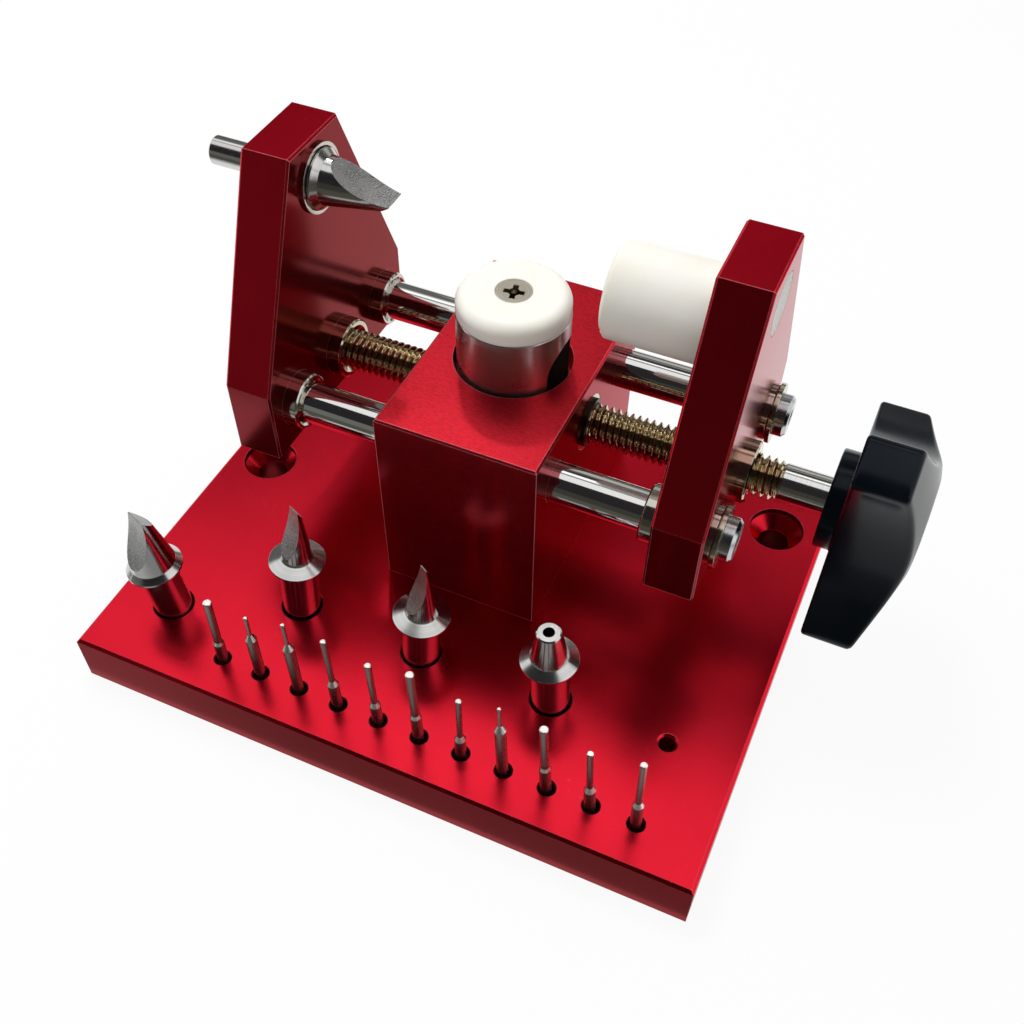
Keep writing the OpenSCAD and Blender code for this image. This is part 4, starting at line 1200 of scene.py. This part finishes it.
def make_floor(glow_level):
    """White paper; it glows to the camera and in reflections, but not under the base."""
    made, tree, shader = new_material("Floor paper")
    shader.inputs["Base Color"].default_value = (0.82, 0.82, 0.82, 1)
    shader.inputs["Roughness"].default_value = 0.8
    shader.inputs["Specular IOR Level"].default_value = 0.1
    glow = new_node(tree, "ShaderNodeEmission", 300, -300, Color=(1, 1, 1, 1), Strength=1.0)
    mixed = new_node(tree, "ShaderNodeMixShader", 650, -100)
    seen = seen_directly(tree, -500, -300)
    where = new_node(tree, "ShaderNodeTexCoord", -900, -700)
    parts = new_node(tree, "ShaderNodeSeparateXYZ", -700, -700)
    tree.links.new(where.outputs["Object"], parts.inputs[0])
    low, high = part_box("base_plate")
    across = maths(tree, "ABSOLUTE", parts.outputs["X"], None, -500, -650)
    along = maths(tree, "ABSOLUTE", parts.outputs["Y"], None, -500, -800)
    beside = maths(tree, "GREATER_THAN", across, high.x, -300, -650)
    before = maths(tree, "GREATER_THAN", along, high.y, -300, -800)
    open_floor = maths(tree, "MAXIMUM", beside, before, -100, -700)
    glow_share = maths(tree, "MULTIPLY", seen, glow_level, 100, -300)
    tree.links.new(maths(tree, "MULTIPLY", glow_share, open_floor, 300, -500), mixed.inputs[0])
    tree.links.new(shader.outputs[0], mixed.inputs[1])
    tree.links.new(glow.outputs[0], mixed.inputs[2])
    tree.links.new(mixed.outputs[0], tree.nodes["Material Output"].inputs["Surface"])
    corners = [(x * FLOOR_HALF, y * FLOOR_HALF, 0) for x, y in ((-1, -1), (1, -1), (1, 1), (-1, 1))]
    floor = flat_piece("floor", corners, made)
    floor.location.z = -FLOOR_DROP


def make_light(name, place, aim, size, power, shine=True):
    """A square light of a size, at a place, that looks at its aim."""
    data = bpy.data.lights.new(name, "AREA")
    data.shape = "SQUARE"
    data.size = size
    data.energy = power
    made = bpy.data.objects.new(name, data)
    bpy.context.scene.collection.objects.link(made)
    made.location = place
    made.rotation_mode = "QUATERNION"
    made.rotation_quaternion = (Vector(aim) - Vector(place)).to_track_quat("-Z", "Y")
    made.visible_glossy = shine


def make_board(name, corners, level):
    """A board of one even level that only reflections see, as a studio sets up round bright metal."""
    made = bpy.data.materials.new("Board " + name)
    made.use_nodes = True
    made.cycles.emission_sampling = "NONE"
    tree = made.node_tree
    tree.nodes.clear()
    glow = new_node(tree, "ShaderNodeEmission", 0, 0, Color=(*level, 1), Strength=1.0)
    out = new_node(tree, "ShaderNodeOutputMaterial", 200, 0)
    tree.links.new(glow.outputs[0], out.inputs["Surface"])
    board = flat_piece("board_" + name, corners, made)
    board.visible_camera = False
    board.visible_diffuse = False
    board.visible_shadow = False
    board.visible_transmission = False
    return tree


def make_graded_board(name, corners, axis, low, high, from_level, to_level):
    """A board whose level runs from one value to another along an axis."""
    tree = make_board(name, corners, (1, 1, 1))
    where = new_node(tree, "ShaderNodeTexCoord", -600, 0)
    parts = new_node(tree, "ShaderNodeSeparateXYZ", -400, 0)
    tree.links.new(where.outputs["Object"], parts.inputs[0])
    level = map_range(tree, parts.outputs[axis], low, high, from_level, to_level, -200, 0)
    glow = next(n for n in tree.nodes if n.type == "EMISSION")
    tree.links.new(level, glow.inputs["Strength"])


def span(left, right, near, far):
    """Corners of a board between two x, from one (y, z) to another."""
    return [(left, *near), (right, *near), (right, *far), (left, *far)]


def wall(start, end, low, high):
    """Corners of an upright board between two (x, y), from one height to another."""
    return [(*start, low), (*end, low), (*end, high), (*start, high)]


# Ends of the boards that meet each other, in metres
BOARD_LEFT = -1.6
BOARD_SPLIT = -0.35
BOARD_RIGHT = 1.4
# Where the front boards meet: (y, z) at their foot, over the low ones, over the dark one and at the top
FRONT_FOOT = (-0.8, 0)
FRONT_LOW = (-0.8, 0.38)
FRONT_DARK = (-0.55, 0.95)
FRONT_TOP = (-0.3, 0.98)
# The boards on the floor lie just over it
ON_FLOOR = 0.3 * MM
FLOOR_SPLIT = (-0.12, ON_FLOOR)


def make_boards():
    """What the polished parts reflect: dark in front, bright behind, a bright and a dark board above."""
    make_board("front_low", span(BOARD_LEFT, BOARD_SPLIT, FRONT_FOOT, FRONT_LOW), (0.16, 0.16, 0.15))
    make_board("front_low_right", span(BOARD_SPLIT, BOARD_RIGHT, FRONT_FOOT, FRONT_LOW), (0.05, 0.05, 0.042))
    make_board("front_dark", span(BOARD_LEFT, BOARD_RIGHT, FRONT_LOW, FRONT_DARK), (0.025, 0.022, 0.024))
    make_board("front_top", span(BOARD_LEFT, BOARD_RIGHT, FRONT_DARK, FRONT_TOP), (0.025, 0.025, 0.027))
    make_graded_board("front_floor", span(-0.5, 0.6, FLOOR_SPLIT, (-0.0635, ON_FLOOR)),
                      axis="X", low=-0.08, high=-0.02, from_level=0.52, to_level=0.3)
    make_board("front_floor_far", span(BOARD_LEFT, BOARD_RIGHT, (-0.8, ON_FLOOR), FLOOR_SPLIT),
               (0.09, 0.09, 0.07))
    make_board("overhead", span(-0.7, 0.5, (0.16, 0.9), (0.26, 0.87)), (0.3, 0.29, 0.3))
    make_board("soft_box", span(-0.8, 0.3, (0.3, 0.9), (0.5, 0.9)), (1.38, 1.36, 1.35))
    shade = [(-0.06, 0.15), (0.3, 0.15), (0.3, 0.34), (0.12, 0.34), (0.12, 0.255), (-0.06, 0.255)]
    make_board("shade_right", [(x, y, 0.3) for x, y in shade], (0.05, 0.045, 0.045))
    make_graded_board("back", wall((-2.23, 0.12), (1.44, 1.71), 0.02, 1.3),
                      axis="Z", low=0.95, high=1.45, from_level=0.14, to_level=1.0)
    make_board("back_low", wall((-0.389, 0.9), (0.988, 1.495), 0.3, 0.72), (0.52, 0.5, 0.47))


class BENCHTOOL_OT_stage(Operator):
    """Makes the floor, the lights, the reflection boards and the camera"""
    bl_idname = "benchtool.stage"
    bl_label = "Stage"

    def execute(self, context):
        stage = settings().stage
        make_world(stage.fill)
        make_floor(stage.floor_glow)
        make_light("top_light", (-0.25, 0.15, 0.75), (0, 0, 0.03), 0.35, stage.key_power, shine=False)
        make_light("spark_light", (-0.3, 0.55, 0.75), (0, 0, 0.05), 0.05, stage.side_power)
        if stage.show_boards:
            make_boards()
        make_camera()
        return {"FINISHED"}


# Panel


STEPS = ("plates", "rods", "leadscrew", "knob", "post", "jaw", "blades", "pins", "stage")


class BENCHTOOL_PT_panel(Panel):
    """Lists the steps and their settings"""
    bl_idname = "BENCHTOOL_PT_panel"
    bl_label = "Watch bench tool"
    bl_space_type = "VIEW_3D"
    bl_region_type = "UI"
    bl_category = "Bench tool"

    def draw(self, context):
        tool = context.scene.bench_tool
        for part in ("finish", "metal", "thread", "knob", "stage"):
            box = self.layout.box()
            box.label(text=part.capitalize())
            group = getattr(tool, part)
            for name in group.__annotations__:
                box.prop(group, name)
        for step in STEPS:
            self.layout.operator("benchtool." + step)


CLASSES = (
    FinishSettings, MetalSettings, ThreadSettings, KnobSettings, StageSettings, BenchToolSettings,
    BENCHTOOL_OT_plates, BENCHTOOL_OT_rods, BENCHTOOL_OT_leadscrew, BENCHTOOL_OT_knob, BENCHTOOL_OT_post,
    BENCHTOOL_OT_jaw, BENCHTOOL_OT_blades, BENCHTOOL_OT_pins, BENCHTOOL_OT_stage, BENCHTOOL_PT_panel,
)


def register():
    for one in CLASSES:
        bpy.utils.register_class(one)
    bpy.types.Scene.bench_tool = PointerProperty(type=BenchToolSettings)


def unregister():
    del bpy.types.Scene.bench_tool
    for one in reversed(CLASSES):
        bpy.utils.unregister_class(one)


def main():
    register()
    bpy.context.scene.view_settings.view_transform = "Standard"
    for make in (make_edge_wear, make_fine_grain, make_turned_marks, make_upper_faces, make_smudges):
        make()
    for step in STEPS:
        getattr(bpy.ops.benchtool, step)()


if __name__ == "__main__":
    main()
